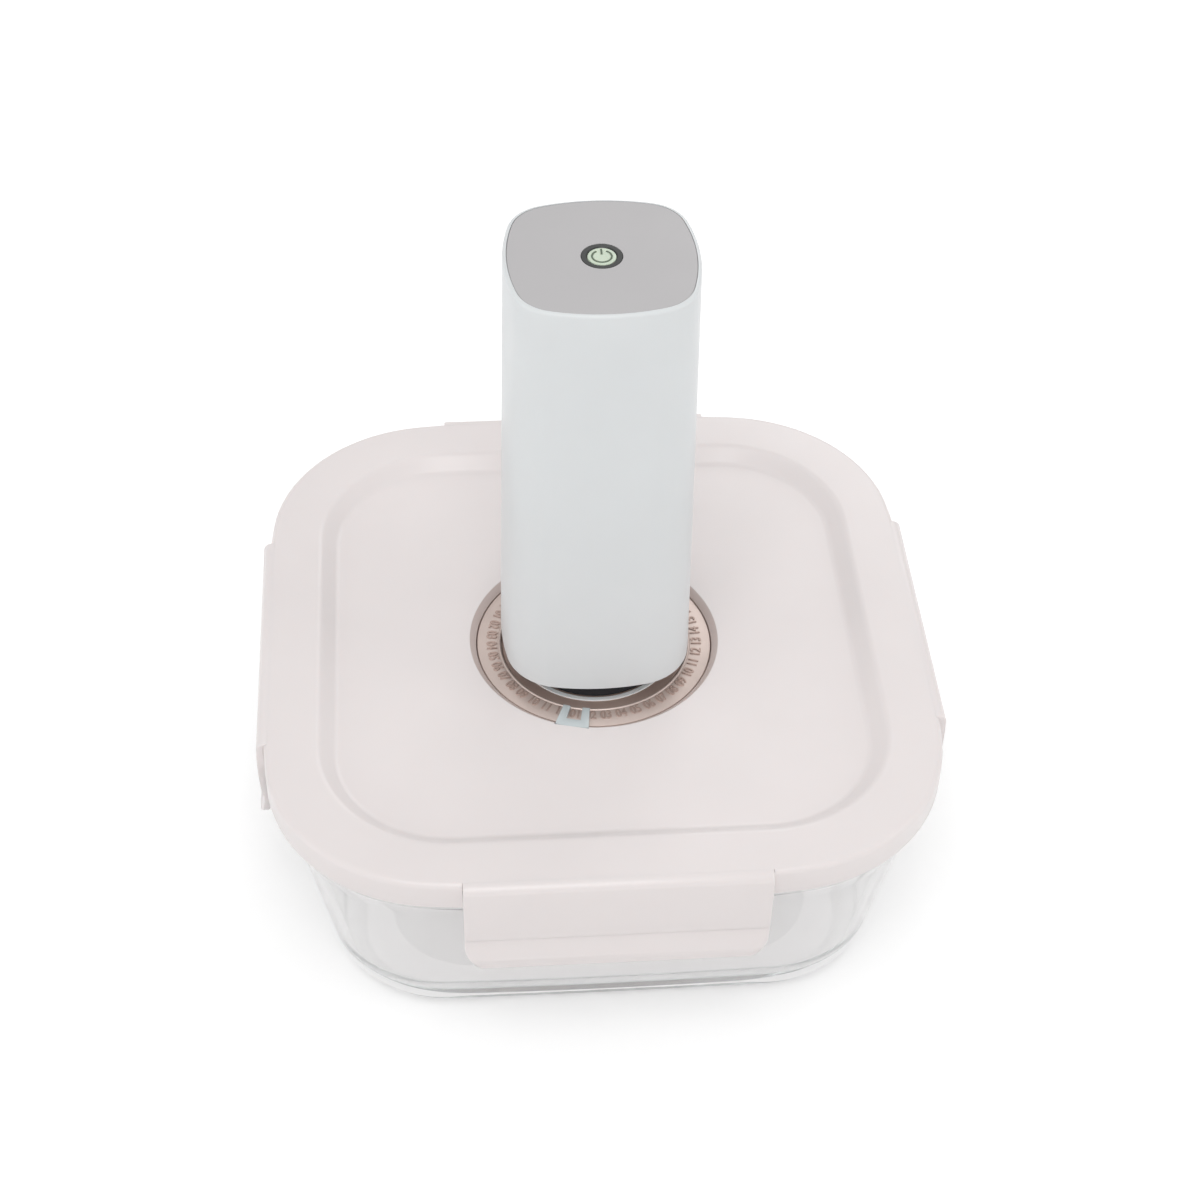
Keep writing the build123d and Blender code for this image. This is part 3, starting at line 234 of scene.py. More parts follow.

# %% [markdown]
# ## Rose-gold dial
#
# The dial is plastic with a metallic lacquer. A plain metal would mirror the white room and turn
# nearly white. A part-metallic base with a broad highlight keeps the brown-pink body colour, and
# tiny flakes break the highlight up. The numbers and the plate in the middle have the same lacquer
# in a deeper tone, which is painted shade: it stands in for the pump's shade on the plate and the
# shade along the edges of the raised digits. The wall of the well round the dial gets a painted
# reflection of the dial's warm colour and painted shade.

# %% Rose-gold lacquer
def rose_lacquer(name, colour):
    """Metallic lacquer with fine flakes."""
    material, tree, shader, place = start_material(name)
    flake_mm, metal_share = 0.12, 0.5
    tint(tree, shader, place, colour, 0.05, 9)
    flakes = add_node(tree, "ShaderNodeTexVoronoi", {"Vector": place}, Scale=1 / (flake_mm * MM))
    spread = ranged(tree, flakes.outputs["Distance"], (0.3, 0.45), (0.0, 0.8))
    tree.links.new(spread, shader.inputs["Roughness"])
    bumped(tree, shader, flakes.outputs["Distance"], 0.06, 0.02)
    shader.inputs["Metallic"].default_value = metal_share
    return material


rose_gold = rose_lacquer("rose_gold", srgb(221, 204, 196))
# Painted shade: this deeper copy of the lacquer stands in for the pump's shade on the valve plate and the
# shade along the edges of the raised digits.
painted_shade_gold = rose_lacquer("painted_shade_gold", srgb(199, 175, 165))
print("lacquers:", rose_gold.name, painted_shade_gold.name)

# %% Painted reflection and shade on the wall of the well
def with_painted_reflection(material, radius_mm, colour, share):
    """Painted reflection and shade: mix a colour into the upright wall that stands nearer to the middle than
    the radius.
    """
    tree = material.node_tree
    shader = next(node for node in tree.nodes if node.type == "BSDF_PRINCIPLED")
    place = next(node for node in tree.nodes if node.type == "TEX_COORD")
    plain = shader.inputs["Base Color"].links[0].from_socket
    flat = add_node(tree, "ShaderNodeVectorMath", {0: place.outputs["Object"]}, operation="MULTIPLY")
    flat.inputs[1].default_value = (1, 1, 0)
    reach = add_node(tree, "ShaderNodeVectorMath", {0: flat.outputs[0]}, operation="LENGTH")
    inside = ranged(tree, reach.outputs["Value"], (share, 0.0), (radius_mm * MM, (radius_mm + 0.1) * MM))
    mixed = add_node(tree, "ShaderNodeMix", {"Factor": inside, "A": plain}, data_type="RGBA")
    mixed.inputs["B"].default_value = (*colour, 1)
    tree.links.new(mixed.outputs["Result"], shader.inputs["Base Color"])


# Painted reflection and shade: the wall of the well takes a darker, warmer colour that stands in for the
# dial's colour reflected on it and the shade inside the well.
reflection_radius, reflection_share = 33.8, 0.6
with_painted_reflection(lid_pink, reflection_radius, srgb(206, 184, 175), reflection_share)
print("warm wall within", reflection_radius, "mm")

# %% [markdown]
# ## Glass
#
# The dish is thick pressed glass, clear in the wall and faintly sea-green at its edges, where the
# light has a long way through it. A coloured surface would tint the whole wall, so the colour sits
# in the volume, where it grows with the distance, as in the real glass. A small share of the surface
# scatters, which gives the wall the faint milky body that fine wear leaves on a used dish.

# %% Pressed glass
def pressed_glass(name):
    """Clear glass, slightly worn, with colour that builds up with its thickness."""
    material, tree, shader, place = start_material(name)
    clear_share, bending, sea_green, depth_of_colour = 0.85, 1.47, (0.72, 0.86, 0.87, 1), 12.0
    shader.inputs["Base Color"].default_value = (1, 1, 1, 1)
    shader.inputs["Transmission Weight"].default_value = clear_share
    shader.inputs["IOR"].default_value = bending
    gloss(tree, shader, place, 0.01, 0.05, 40)
    depth = add_node(tree, "ShaderNodeVolumeAbsorption", Color=sea_green, Density=depth_of_colour)
    output = next(n for n in tree.nodes if n.type == "OUTPUT_MATERIAL")
    tree.links.new(depth.outputs["Volume"], output.inputs["Volume"])
    return material


clear_glass = pressed_glass("clear_glass")
print("glass:", clear_glass.name)

# %% [markdown]
# ## Finishes of the hidden parts
#
# The motor, the battery, the board and most screws are closed in the pump, and show only where
# another scene opens it. They still get real finishes: drawn or turned metal has fine lines, the
# board has its weave, and the wrap of the battery is glossy.

# %% Metals, board and battery
def worked_metal(name, colour, rough, line_mm):
    """Bare metal with fine lines from drawing or turning."""
    material, tree, shader, place = start_material(name)
    squash = 12
    tint(tree, shader, place, colour, 0.06, 6)
    stretch = add_node(tree, "ShaderNodeMapping", {"Vector": place}, Scale=(1, 1, squash))
    lines = patches(tree, stretch.outputs["Vector"], line_mm * squash, 3.0)
    tree.links.new(ranged(tree, lines, (rough - 0.08, rough + 0.12)), shader.inputs["Roughness"])
    bumped(tree, shader, lines, 0.2, 0.01)
    shader.inputs["Metallic"].default_value = 1.0
    return material


def woven_board(name, colour):
    """Solder mask over the glass weave of a circuit board."""
    material, tree, shader, place = start_material(name)
    tint(tree, shader, place, colour, 0.1, 4)
    weave_mm = 0.6
    weave = add_node(tree, "ShaderNodeTexChecker", {"Vector": place}, Scale=1 / (weave_mm * MM))
    bumped(tree, shader, weave.outputs["Fac"], 0.15, 0.02)
    shader.inputs["Roughness"].default_value = 0.35
    return material


hidden_finishes = {
    "cover_plastic": moulded("cover_plastic", srgb(212, 214, 214), 0.45),
    "frame_plastic": moulded("frame_plastic", srgb(150, 152, 154), 0.5, grain_mm=0.6, spread=0.03),
    "tube_silicone": moulded("tube_silicone", srgb(210, 210, 204), 0.45, scatter=0.4),
    "light_guide": moulded("light_guide", srgb(228, 236, 228), 0.35, scatter=0.5),
    "dark_plastic": moulded("dark_plastic", srgb(48, 48, 50), 0.45),
    "black_rubber": moulded("inner_rubber", srgb(40, 40, 44), 0.65, grain_mm=0.8, spread=0.05),
    "motor_steel": worked_metal("motor_steel", (0.55, 0.55, 0.56), 0.35, 0.3),
    "magnet_ferrite": moulded("magnet_ferrite", srgb(70, 70, 72), 0.7, grain_mm=0.3, spread=0.08),
    "battery_wrap": moulded("battery_wrap", srgb(66, 104, 150), 0.25, coat=0.4),
    "contact_metal": worked_metal("contact_metal", (0.72, 0.7, 0.64), 0.25, 0.4),
    "board_laminate": woven_board("board_laminate", srgb(44, 96, 62)),
    "screw_steel": worked_metal("screw_steel", (0.5, 0.5, 0.52), 0.3, 0.15),
    "seal_silicone": seal_milky,
}
print("hidden finishes:", len(hidden_finishes))

# %% [markdown]
# ## Shapes from a few sizes
#
# Every large piece here is a square with bowed sides and round corners, repeated at other sizes
# and heights. One function gives that outline as a loop of points, with the same number of points
# whatever its size. Loops stacked on each other make a smooth skin of four-sided faces, which
# shades better than the facets that a CAD model is packed with. All sizes are in millimetres until
# a skin is made.

# %% The outline as a loop of points
SIDE_POINTS, CORNER_POINTS = 28, 18
QUARTER_TURNS = [quarter_number * math.pi / 2 for quarter_number in range(4)]


def bowed_loop(half, corner, bow, z):
    """Loop of a square with bowed sides and round corners, anticlockwise, in millimetres."""
    if bow > 0:
        tip = half - bow
        side_radius = (tip * tip + bow * bow) / (2 * bow)
        side_centre = side_radius - half
        reach = side_radius - corner
        corner_centre = (math.sqrt(2 * reach * reach - side_centre ** 2) - side_centre) / 2
        lean = math.asin(corner_centre / reach)
        angles = np.linspace(-lean, lean, SIDE_POINTS, endpoint=False)
        side = np.stack([side_radius * np.sin(angles), side_centre - side_radius * np.cos(angles)], 1)
    else:
        corner_centre = half - corner
        lean = 0.0
        across = np.linspace(-corner_centre, corner_centre, SIDE_POINTS, endpoint=False)
        side = np.stack([across, np.full(SIDE_POINTS, -half)], 1)
    angles = np.linspace(-math.pi / 2 + lean, -lean, CORNER_POINTS, endpoint=False)
    bend = np.stack([corner_centre + corner * np.cos(angles),
                     -corner_centre + corner * np.sin(angles)], 1)
    quarter = np.concatenate([side, bend])
    quarters = []
    for angle in QUARTER_TURNS:
        spin = np.array([[math.cos(angle), math.sin(angle)], [-math.sin(angle), math.cos(angle)]])
        quarters.append(quarter @ spin)
    loop = np.concatenate(quarters)
    return np.column_stack([loop, np.full(len(loop), z)])


def round_loop(radius, z, like):
    """Circle whose points stand at the same angles as those of another loop."""
    angles = np.arctan2(like[:, 1], like[:, 0])
    return np.column_stack([radius * np.cos(angles), radius * np.sin(angles), np.full(len(like), z)])


# %% Pieces and their shading
def placed_piece(name, data):
    """A new object of a mesh or a lamp, in the scene."""
    piece = bpy.data.objects.new(name, data)
    bpy.context.scene.collection.objects.link(piece)
    return piece


def smooth_by_angle(mesh, degrees=32):
    """Smooth shading that keeps the edges sharper than the angle."""
    mesh.shade_smooth()
    mesh.set_sharp_from_angle(angle=math.radians(degrees))


def clean_piece(name, mesh):
    """Piece of a mesh with its doubles merged, its faces turned outwards and its shading smooth."""
    work = bmesh.new()
    work.from_mesh(mesh)
    bmesh.ops.remove_doubles(work, verts=work.verts, dist=0.002 * MM)
    bmesh.ops.recalc_face_normals(work, faces=work.faces)
    work.to_mesh(mesh)
    work.free()
    smooth_by_angle(mesh)
    return placed_piece(name, mesh)


# %% Skins from stacked loops
def stacked_skin(name, loops, closed=False):
    """Mesh through the loops in order. A closed skin joins the last loop to the first; an open one
    gets a flat cap at both ends."""
    count = len(loops[0])
    points = np.concatenate(loops) * MM
    faces = []
    pairs = list(zip(range(len(loops) - 1), range(1, len(loops))))
    if closed:
        pairs.append((len(loops) - 1, 0))
    for low, high in pairs:
        for step in range(count):
            after = (step + 1) % count
            faces.append((low * count + step, low * count + after,
                          high * count + after, high * count + step))
    points = [tuple(point) for point in points]
    if not closed:
        for first, flip in ((0, True), ((len(loops) - 1) * count, False)):
            ring = [first + step for step in range(count)]
            centre = len(points)
            points.append(tuple(np.mean([points[i] for i in ring], axis=0)))
            for step in range(count):
                pair = (ring[step], ring[(step + 1) % count])
                faces.append((centre, *(reversed(pair) if flip else pair)))
    mesh = bpy.data.meshes.new(name)
    mesh.from_pydata(points, [], faces)
    mesh.update()
    return clean_piece(name, mesh)


def arc(centre_x, centre_z, radius, start, end, steps=6):
    """Points (x, z) of an arc in the section, from one angle to another in degrees."""
    angles = np.radians(np.linspace(start, end, steps))
    return [(centre_x + radius * math.cos(a), centre_z + radius * math.sin(a)) for a in angles]


def turned(name, section, steps=144):
    """Solid of revolution about the Z axis, from a closed section of (radius, height) points."""
    angles = np.linspace(0, 2 * math.pi, steps, endpoint=False)
    loops = [np.column_stack([r * np.cos(angles), r * np.sin(angles), np.full(steps, z)])
             for r, z in section]
    return stacked_skin(name, loops, closed=True)


# %% Finished pieces and cuts
def baked(piece):
    """The piece with its modifiers turned into plain mesh."""
    graph = bpy.context.evaluated_depsgraph_get()
    mesh = bpy.data.meshes.new_from_object(piece.evaluated_get(graph), depsgraph=graph)
    piece.modifiers.clear()
    piece.data = mesh
    return piece


def dress(piece, material, body, node):
    """Give a piece its material, let it ride on its body and stand for its CAD node."""
    piece.data.materials.clear()
    piece.data.materials.append(material)
    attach(piece, body)
    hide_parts(node)
    print(f"{piece.name}: {len(piece.data.polygons)} faces on body {body}")


def box_mesh(name, low, high):
    """A plain box as a cutting tool, from two corners in millimetres."""
    mesh = bpy.data.meshes.new(name)
    work = bmesh.new()
    bmesh.ops.create_cube(work, size=1.0)
    for vertex in work.verts:
        for axis in range(3):
            share = vertex.co[axis] + 0.5
            vertex.co[axis] = (low[axis] + (high[axis] - low[axis]) * share) * MM
    work.to_mesh(mesh)
    work.free()
    return placed_piece(name, mesh)


def cut_out(piece, tool):
    """Cut a tool out of a piece, then remove the tool."""
    step = piece.modifiers.new("cut", "BOOLEAN")
    step.operation, step.solver, step.object = "DIFFERENCE", "EXACT", tool
    baked(piece)
    bpy.data.objects.remove(tool)


# %% [markdown]
# ## Levels and sizes
#
# The levels are read from the CAD nodes, so that the skins below fit the frame: the top of the lid,
# the floor of its well, the rim of the glass, the dial's face and the pump's ends. Only the sizes
# that a box can't tell, such as corner radii and the depth of the skirt, are written down.

# %% Levels from the frame
def level(node, end):
    """Lowest (0) or highest (1) point of a CAD node, in millimetres."""
    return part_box(node)[end].z / MM


def half_width(node):
    """Half of a CAD node's width, in millimetres."""
    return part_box(node)[1].x / MM


lid_top = level("lid_shell", 1)
skirt_depth = 8.6
skirt_bottom = lid_top - skirt_depth
well_bottom = level("lid_shell", 0)
rim_top = level("glass_dish", 1)
flange_half = half_width("glass_dish")
rim_gap, skirt_wall = 0.5, 1.8
lid_half = flange_half + rim_gap + skirt_wall
dial_top = level("date_dial", 1)
dial_bottom = level("date_dial", 0)
dial_outer = half_width("date_dial")
plate_top = level("valve_plate", 1)
well_floor = level("valve_plate", 0)
pump_bottom = level("pump_housing", 0)
pump_top = level("pump_housing", 1)
print("lid top", round(lid_top, 2), "rim", round(rim_top, 2), "dial", round(dial_top, 2),
      "pump", round(pump_bottom, 2), "to", round(pump_top, 2))

# %% [markdown]
# ## Glass dish
#
# A pressed dish has no sharp edge: the foot, the rim and the flange are all rounded, and the light
# that these rounds bend is what the eye reads as glass. The section below starts in the shallow
# hollow under the foot, runs up the outside, over the rim and down the inside. Each point of it is
# a size and a height, and the loop for that point blends from the foot's outline to the shoulder's.

# %% Dish section
foot = (73.4, 31.0, 0.8)           # half width, corner radius and bow where the wall meets z = 0
shoulder = (85.0, 40.0, 4.2)       # the same right under the flange
basin = (70.4, 27.0, 0.8)          # inside, at the floor
opening = (82.2, 37.0, 4.2)        # inside, at the rim
flange = (flange_half, 43.7, 6.8)  # the edge of the rim
glass_floor, flange_depth = 5.5, 7.2
flange_bottom = rim_top - flange_depth
foot_round, basin_round = 10.0, 10.0
FOOT_STEPS, WALL_STEPS, HOLLOW_STEPS = 18, 10, 13


def blended_loop(low, high, low_z, high_z, z, inset):
    """Loop of a tapering wall at a height, moved inwards by an inset."""
    share = (z - low_z) / (high_z - low_z)
    half, corner, bow = (a + (b - a) * share for a, b in zip(low, high))
    return bowed_loop(half - inset, corner - inset, max(bow, 0.05), z)


def wall_at(low, high, low_z, high_z, z):
    """Half width of a tapering wall at a height."""
    return low[0] + (high[0] - low[0]) * (z - low_z) / (high_z - low_z)


def foot_arc(low, high, low_z, high_z, radius, floor_z, side):
    """Loops of the round between a flat floor and a tapering wall; side is 1 outside, -1 inside."""
    slope = math.atan2(high[0] - low[0], high_z - low_z)
    centre_z = floor_z + radius
    centre_x = wall_at(low, high, low_z, high_z, centre_z) - radius / math.cos(slope)
    loops = []
    for x, z in arc(centre_x, centre_z, radius, -90, -math.degrees(slope), FOOT_STEPS):
        inset = wall_at(low, high, low_z, high_z, z) - x
        loops.append(blended_loop(low, high, low_z, high_z, z, inset))
    return loops if side > 0 else loops[::-1]


# %% Dish skin
hollow_depth, hollow_slope, ring_width, corner_loss = 0.8, 4, 14.5, 7.5
hollow_half, hollow_corner = foot[0] - ring_width, foot[1] - corner_loss
under_round, rim_round, mouth_round, neck_round, neck_height = 0.8, 1.2, 1.0, 0.3, 1.0
outer_wall = (foot, shoulder, 0, flange_bottom)
inner_wall = (basin, opening, glass_floor, rim_top)


def flange_loop(out, z):
    """Loop of the flange's edge, moved outwards."""
    return bowed_loop(flange[0] + out, flange[1] + out, flange[2], z)


loops = [bowed_loop(hollow_half - hollow_slope * share, hollow_corner - hollow_slope * share, foot[2],
                    hollow_depth * (1 - math.cos(math.pi * share)) / 2)
         for share in np.linspace(1, 0, HOLLOW_STEPS)]
loops += foot_arc(*outer_wall, foot_round, 0, 1)
loops += [blended_loop(*outer_wall, z, 0)
          for z in np.linspace(foot_round, flange_bottom - neck_height, WALL_STEPS)]
loops.append(blended_loop(*outer_wall, flange_bottom, -neck_round))
flange_edge = (*arc(-under_round, flange_bottom + under_round, under_round, -90, 0, 4),
               *arc(-rim_round, rim_top - rim_round, rim_round, 0, 90))
loops += [flange_loop(x, z) for x, z in flange_edge]
loops += [blended_loop(*inner_wall, z, -x)
          for x, z in arc(mouth_round, rim_top - mouth_round, mouth_round, 90, 180)]
loops += [blended_loop(*inner_wall, z, 0)
          for z in np.linspace(rim_top - 2 * mouth_round, glass_floor + basin_round, WALL_STEPS)]
loops += foot_arc(*inner_wall, basin_round, glass_floor, -1)
dish = stacked_skin("dish_glass", loops)
dress(dish, clear_glass, "dish", "glass_dish")

# %% [markdown]
# ## Lid
#
# The lid is one moulding: a sunken middle panel inside a soft step, a flat border, a skirt that
# hides the glass rim, and underneath the ribs that hold the seal. Its section starts at the hole
# for the valve, runs outwards over the top, down the skirt, and back inwards under the lid, so the
# skin closes on itself and has the real wall. Where the latches hang, the skirt is notched.

# %% Lid section
panel = (70.0, 30.4, 0.0)
slope_width, slope_drop, slope_round = 4.4, 3.8, 3.2
lid_edge = (lid_half, 46.0, 6.8)
edge_round, lid_skin, lip_round, well_round = 1.5, 2.0, 0.5, 0.5
well_mouth, well_radius, well_wall, stem_hole = 33.7, 32.2, 1.6, 2.6
mouth_in, mouth_drop, flat_band = 0.15, 0.25, 6
seal_rib, seal_rib_depth = (5.0, 3.7), 2.6         # outer and inner side, beyond the dish's opening
plug_rib, plug_rib_depth = (-1.4, -2.7), 7.0       # the same for the rib that dips into the dish
panel_z = lid_top - slope_drop
under_z = lid_top - lid_skin
slope_angle = math.degrees(math.atan2(slope_drop, slope_width))
slope_tangent = slope_round * math.tan(math.radians(slope_angle / 2))


def panel_loop(out, z):
    """Loop of the sunken panel's edge, moved outwards."""
    return bowed_loop(panel[0] + out, panel[1] + out, panel[2], z)


def edge_loop(inset, z):
    """Loop of the lid's outer edge, moved inwards."""
    return bowed_loop(lid_edge[0] - inset, lid_edge[1] - inset, lid_edge[2], z)


def rib_loop(out, z):
    """Loop beside the dish's opening, kept inside the skirt where the two would cross."""
    loop = bowed_loop(opening[0] + out, opening[1] + out, opening[2], z)
    limit = edge_loop(skirt_wall + 0.1, z)
    ratio = np.linalg.norm(limit[:, :2], axis=1) / np.linalg.norm(loop[:, :2], axis=1)
    loop[:, :2] *= np.minimum(ratio, 1.0)[:, None]
    return loop


# %% Lid skin
like = panel_loop(0, 0)
well = [(stem_hole, well_floor),
        *arc(well_radius - well_round, well_floor + well_round, well_round, -90, 0, 4),
        (well_radius, dial_top), (well_mouth - mouth_in, panel_z - mouth_drop),
        (well_mouth + mouth_drop, panel_z)]
step_out = slope_width + slope_tangent
step_section = [(-slope_tangent - flat_band, panel_z),
                *arc(-slope_tangent, panel_z + slope_round, slope_round, -90, -90 + slope_angle, 7),
                *arc(step_out, lid_top - slope_round, slope_round, 90 + slope_angle, 90, 7)]
skirt = [(-edge_round - flat_band, lid_top), *arc(-edge_round, lid_top - edge_round, edge_round, 90, 0, 7),
         *arc(-lip_round, skirt_bottom + lip_round, lip_round, 0, -90, 4),
         *arc(-skirt_wall + lip_round, skirt_bottom + lip_round, lip_round, -90, -180, 4),
         (-skirt_wall, under_z)]
ribs = []
for (outer, inner), depth in ((seal_rib, seal_rib_depth), (plug_rib, plug_rib_depth)):
    ribs += [(outer, under_z), (outer, under_z - depth), (inner, under_z - depth), (inner, under_z)]
well_back = [(well_radius + well_wall, panel_z - lid_skin), (well_radius + well_wall, well_bottom),
             (stem_hole, well_bottom)]
loops = [round_loop(x, z, like) for x, z in well] + [panel_loop(x, z) for x, z in step_section]
loops += [edge_loop(-x, z) for x, z in skirt] + [rib_loop(x, z) for x, z in ribs]
loops += [panel_loop(slope_width + lid_skin, under_z), panel_loop(lid_skin, panel_z - lid_skin)]
loops += [round_loop(x, z, like) for x, z in well_back]
lid = stacked_skin("lid_moulding", loops, closed=True)
print("lid section:", len(loops), "loops")

# %% Notches for the latches
seam_inset, notch_gap, near_half, overlap = 2.5, 0.08, 60, 0.01
seam = lid_half - seam_inset
notch_half = half_width("latch_front") + notch_gap
reach_down, reach_out = 3, 5       # how far the tools reach past the lid


def prism(name, outline, low, high):
    """Upright prism over an outline of (x, y) points, as a cutting tool."""
    loops = [np.column_stack([outline, np.full(len(outline), z)]) for z in (low, high)]
    return stacked_skin(name, loops)


inside = edge_loop(skirt_wall + 0.05, 0)
near_side = inside[(inside[:, 1] < 0) & (np.abs(inside[:, 0]) < near_half)]
near_side = near_side[np.argsort(near_side[:, 0])]
across = np.linspace(-notch_half, notch_half, 25)
skirt_cut = np.column_stack([across, np.interp(across, near_side[:, 0], near_side[:, 1])])
outside = [(-notch_half, -lid_half - reach_out), (notch_half, -lid_half - reach_out)]
skirt_cut = np.concatenate([skirt_cut[::-1], outside])
top_cut = np.array([(notch_half, -seam), (-notch_half, -seam), *outside])
for angle in QUARTER_TURNS:
    for outline, low, high in ((skirt_cut, skirt_bottom - reach_down, under_z),
                               (top_cut, under_z - overlap, lid_top + reach_down)):
        tool = prism("notch", outline, low, high)
        tool.data.transform(Matrix.Rotation(angle, 4, "Z"))
        cut_out(lid, tool)

# %% Marker seat
marker_angle = math.radians(-104.0)
seat_half, seat_reach, seat_lift, seat_gap = 4.6, 3, 0.3, 0.35
tool = box_mesh("marker_seat", (well_radius - seat_reach, -seat_half, dial_top + seat_lift),
                (well_mouth + seat_gap, seat_half, lid_top + reach_out))
tool.data.transform(Matrix.Rotation(marker_angle, 4, "Z"))
cut_out(lid, tool)
smooth_by_angle(lid.data)
dress(lid, lid_pink, "lid", "lid_shell")

# %% [markdown]
# ## Latches
#
# A latch is a flap with a round shoulder, a crease across its face and a lip that flares out for a
# fingertip. The CAD solid has that section already, so a copy of it is merged, its edges get a
# small round that catches the light, and it is shaded smooth. The edge along its hinge line stays
# sharp, because there the real flap and the lid are one moulding with no seam to see.

# %% Rounded copies of CAD pieces
SHARP_DEGREES = 30


def rounded_copy(node, name, width_mm, segments=3, keep=None):
    """Copy of a CAD node with its facets merged and its edges rounded; keep(point) in millimetres
    tells which points belong to edges that stay sharp."""
    mesh = nodes[node].data.copy()
    mesh.materials.clear()
    work = bmesh.new()
    work.from_mesh(mesh)
    bmesh.ops.remove_doubles(work, verts=work.verts, dist=0.01 * MM)
    bmesh.ops.dissolve_limit(work, angle_limit=math.radians(1.0), verts=work.verts, edges=work.edges)
    weight = work.edges.layers.float.new("bevel_weight_edge")
    for edge in work.edges:
        sharp = len(edge.link_faces) == 2 and edge.calc_face_angle() > math.radians(SHARP_DEGREES)
        stays = keep and all(keep(vertex.co / MM) for vertex in edge.verts)
        edge[weight] = 1.0 if sharp and not stays else 0.0
    work.to_mesh(mesh)
    work.free()
    piece = placed_piece(name, mesh)
    bevel = piece.modifiers.new("edge", "BEVEL")
    bevel.width, bevel.segments, bevel.limit_method = width_mm * MM, segments, "WEIGHT"
    baked(piece)
    smooth_by_angle(piece.data, SHARP_DEGREES)
    return piece


latch_round, marker_round = 0.35, 0.12
for side in ("front", "back", "left", "right"):
    flap = rounded_copy("latch_" + side, "flap_" + side, latch_round,
                        keep=lambda point: max(abs(point.x), abs(point.y)) < seam + 0.05)
    dress(flap, lid_pink, "latch_" + side, "latch_" + side)

# %% [markdown]
# ## Dial, valve plate and marker
#
# These are round pieces, so their sections are spun round the middle. A fine round on every edge
# matters more here than anywhere else, because the lacquer shows its edges as bright lines.

# %% Dial ring and valve plate
dial_inner, dial_ledge, ledge_height, dial_round = 25.4, 1.8, 0.9, 0.3
bead_radius, bead_drop = 0.45, 0.25
dial = turned("dial_ring", [
    (dial_inner - dial_ledge, dial_bottom), (dial_outer - dial_round, dial_bottom),
    (dial_outer, dial_bottom + dial_round), (dial_outer, dial_top - dial_round),
    (dial_outer - 0.1, dial_top - 0.1), (dial_outer - dial_round, dial_top),
    (dial_inner + 2 * bead_radius, dial_top),
    *arc(dial_inner + bead_radius, dial_top - bead_drop, bead_radius, 20, 180, 8),
    (dial_inner, dial_bottom + ledge_height), (dial_inner - dial_ledge, dial_bottom + ledge_height)])
dress(dial, rose_gold, "dial", "date_dial")

plate_outer, hub_outer, plate_opening, plate_rim = 25.1, 23.3, 10.4, 1.2
plate_round, opening_round, ring_round = 0.2, 0.4, 0.15
groove_inner, groove_outer, groove_depth = 20.6, 22.0, 0.8
groove_low = plate_top - groove_depth
plate = turned("valve_face", [
    (plate_opening, well_floor), (hub_outer, well_floor), (hub_outer, plate_top - plate_rim),
    (plate_outer, plate_top - plate_rim), (plate_outer, plate_top - plate_round),
    (plate_outer - plate_round, plate_top), (groove_outer, plate_top), (groove_outer, groove_low),
    (groove_inner, groove_low), (groove_inner, plate_top),
    (plate_opening + opening_round, plate_top), (plate_opening, plate_top - opening_round)])
# Painted shade: the plate takes the deeper copy of the lacquer, which stands in for the pump's shade on it.
dress(plate, painted_shade_gold, "lid", "valve_plate")

seat_ring_top = level("valve_seat_ring", 1)
seat_ring = turned("seat_ring", [
    (groove_inner, groove_low), (groove_outer, groove_low), (groove_outer, seat_ring_top - ring_round),
    (groove_outer - ring_round, seat_ring_top), (groove_inner + ring_round, seat_ring_top),
    (groove_inner, seat_ring_top - ring_round)])
dress(seat_ring, ring_white, "lid", "valve_seat_ring")

marker = rounded_copy("date_marker", "marker_window", marker_round, segments=2)
dress(marker, marker_blue, "lid", "date_marker")

# %% [markdown]
# ## Numbers on the dial
#
# The dial carries raised two-digit numbers: the days of a month and then the months. Typing and
# placing them one by one would be slow and uneven. A Geometry Nodes tree with a repeat zone counts
# the places, starts again after the last day, turns each count into two digits, fills and thickens
# them, runs a fine round along their outline, and sets them round the ring. Its inputs are the
# sizes, and the same few helpers start and end every such tree.

# %% Start and end a tree
def start_tree(name, inputs):
    """A Geometry Nodes tree with named inputs; returns it and the inputs' values by name."""
    tree = bpy.data.node_groups.new(name, "GeometryNodeTree")
    tree.interface.new_socket("Geometry", in_out="OUTPUT", socket_type="NodeSocketGeometry")
    for label, kind in inputs.items():
        tree.interface.new_socket(label, in_out="INPUT", socket_type="NodeSocket" + kind)
    return tree, tree.nodes.new("NodeGroupInput").outputs


def joined(tree, *parts):
    """One geometry of several."""
    node = tree.nodes.new("GeometryNodeJoinGeometry")
    for part in parts:
        tree.links.new(part, node.inputs[0])
    return node.outputs[0]


def end_tree(tree, geometry, finish):
    """End a tree: its instances made real, and its material set."""
    real = add_node(tree, "GeometryNodeRealizeInstances", {"Geometry": geometry})
    finished = add_node(tree, "GeometryNodeSetMaterial", {"Geometry": real.outputs[0], "Material": finish})
    tree.links.new(finished.outputs[0], tree.nodes.new("NodeGroupOutput").inputs[0])
    return tree


def grown(name, tree, values):
    """Plain mesh object from a Geometry Nodes tree with the input values given by name."""
    seed = placed_piece(name, bpy.data.meshes.new(name))
    step = seed.modifiers.new(name, "NODES")
    step.node_group = tree
    for item in tree.interface.items_tree:
        if item.item_type == "SOCKET" and item.in_out == "INPUT" and item.name in values:
            step[item.identifier] = values[item.name]
    return baked(seed)


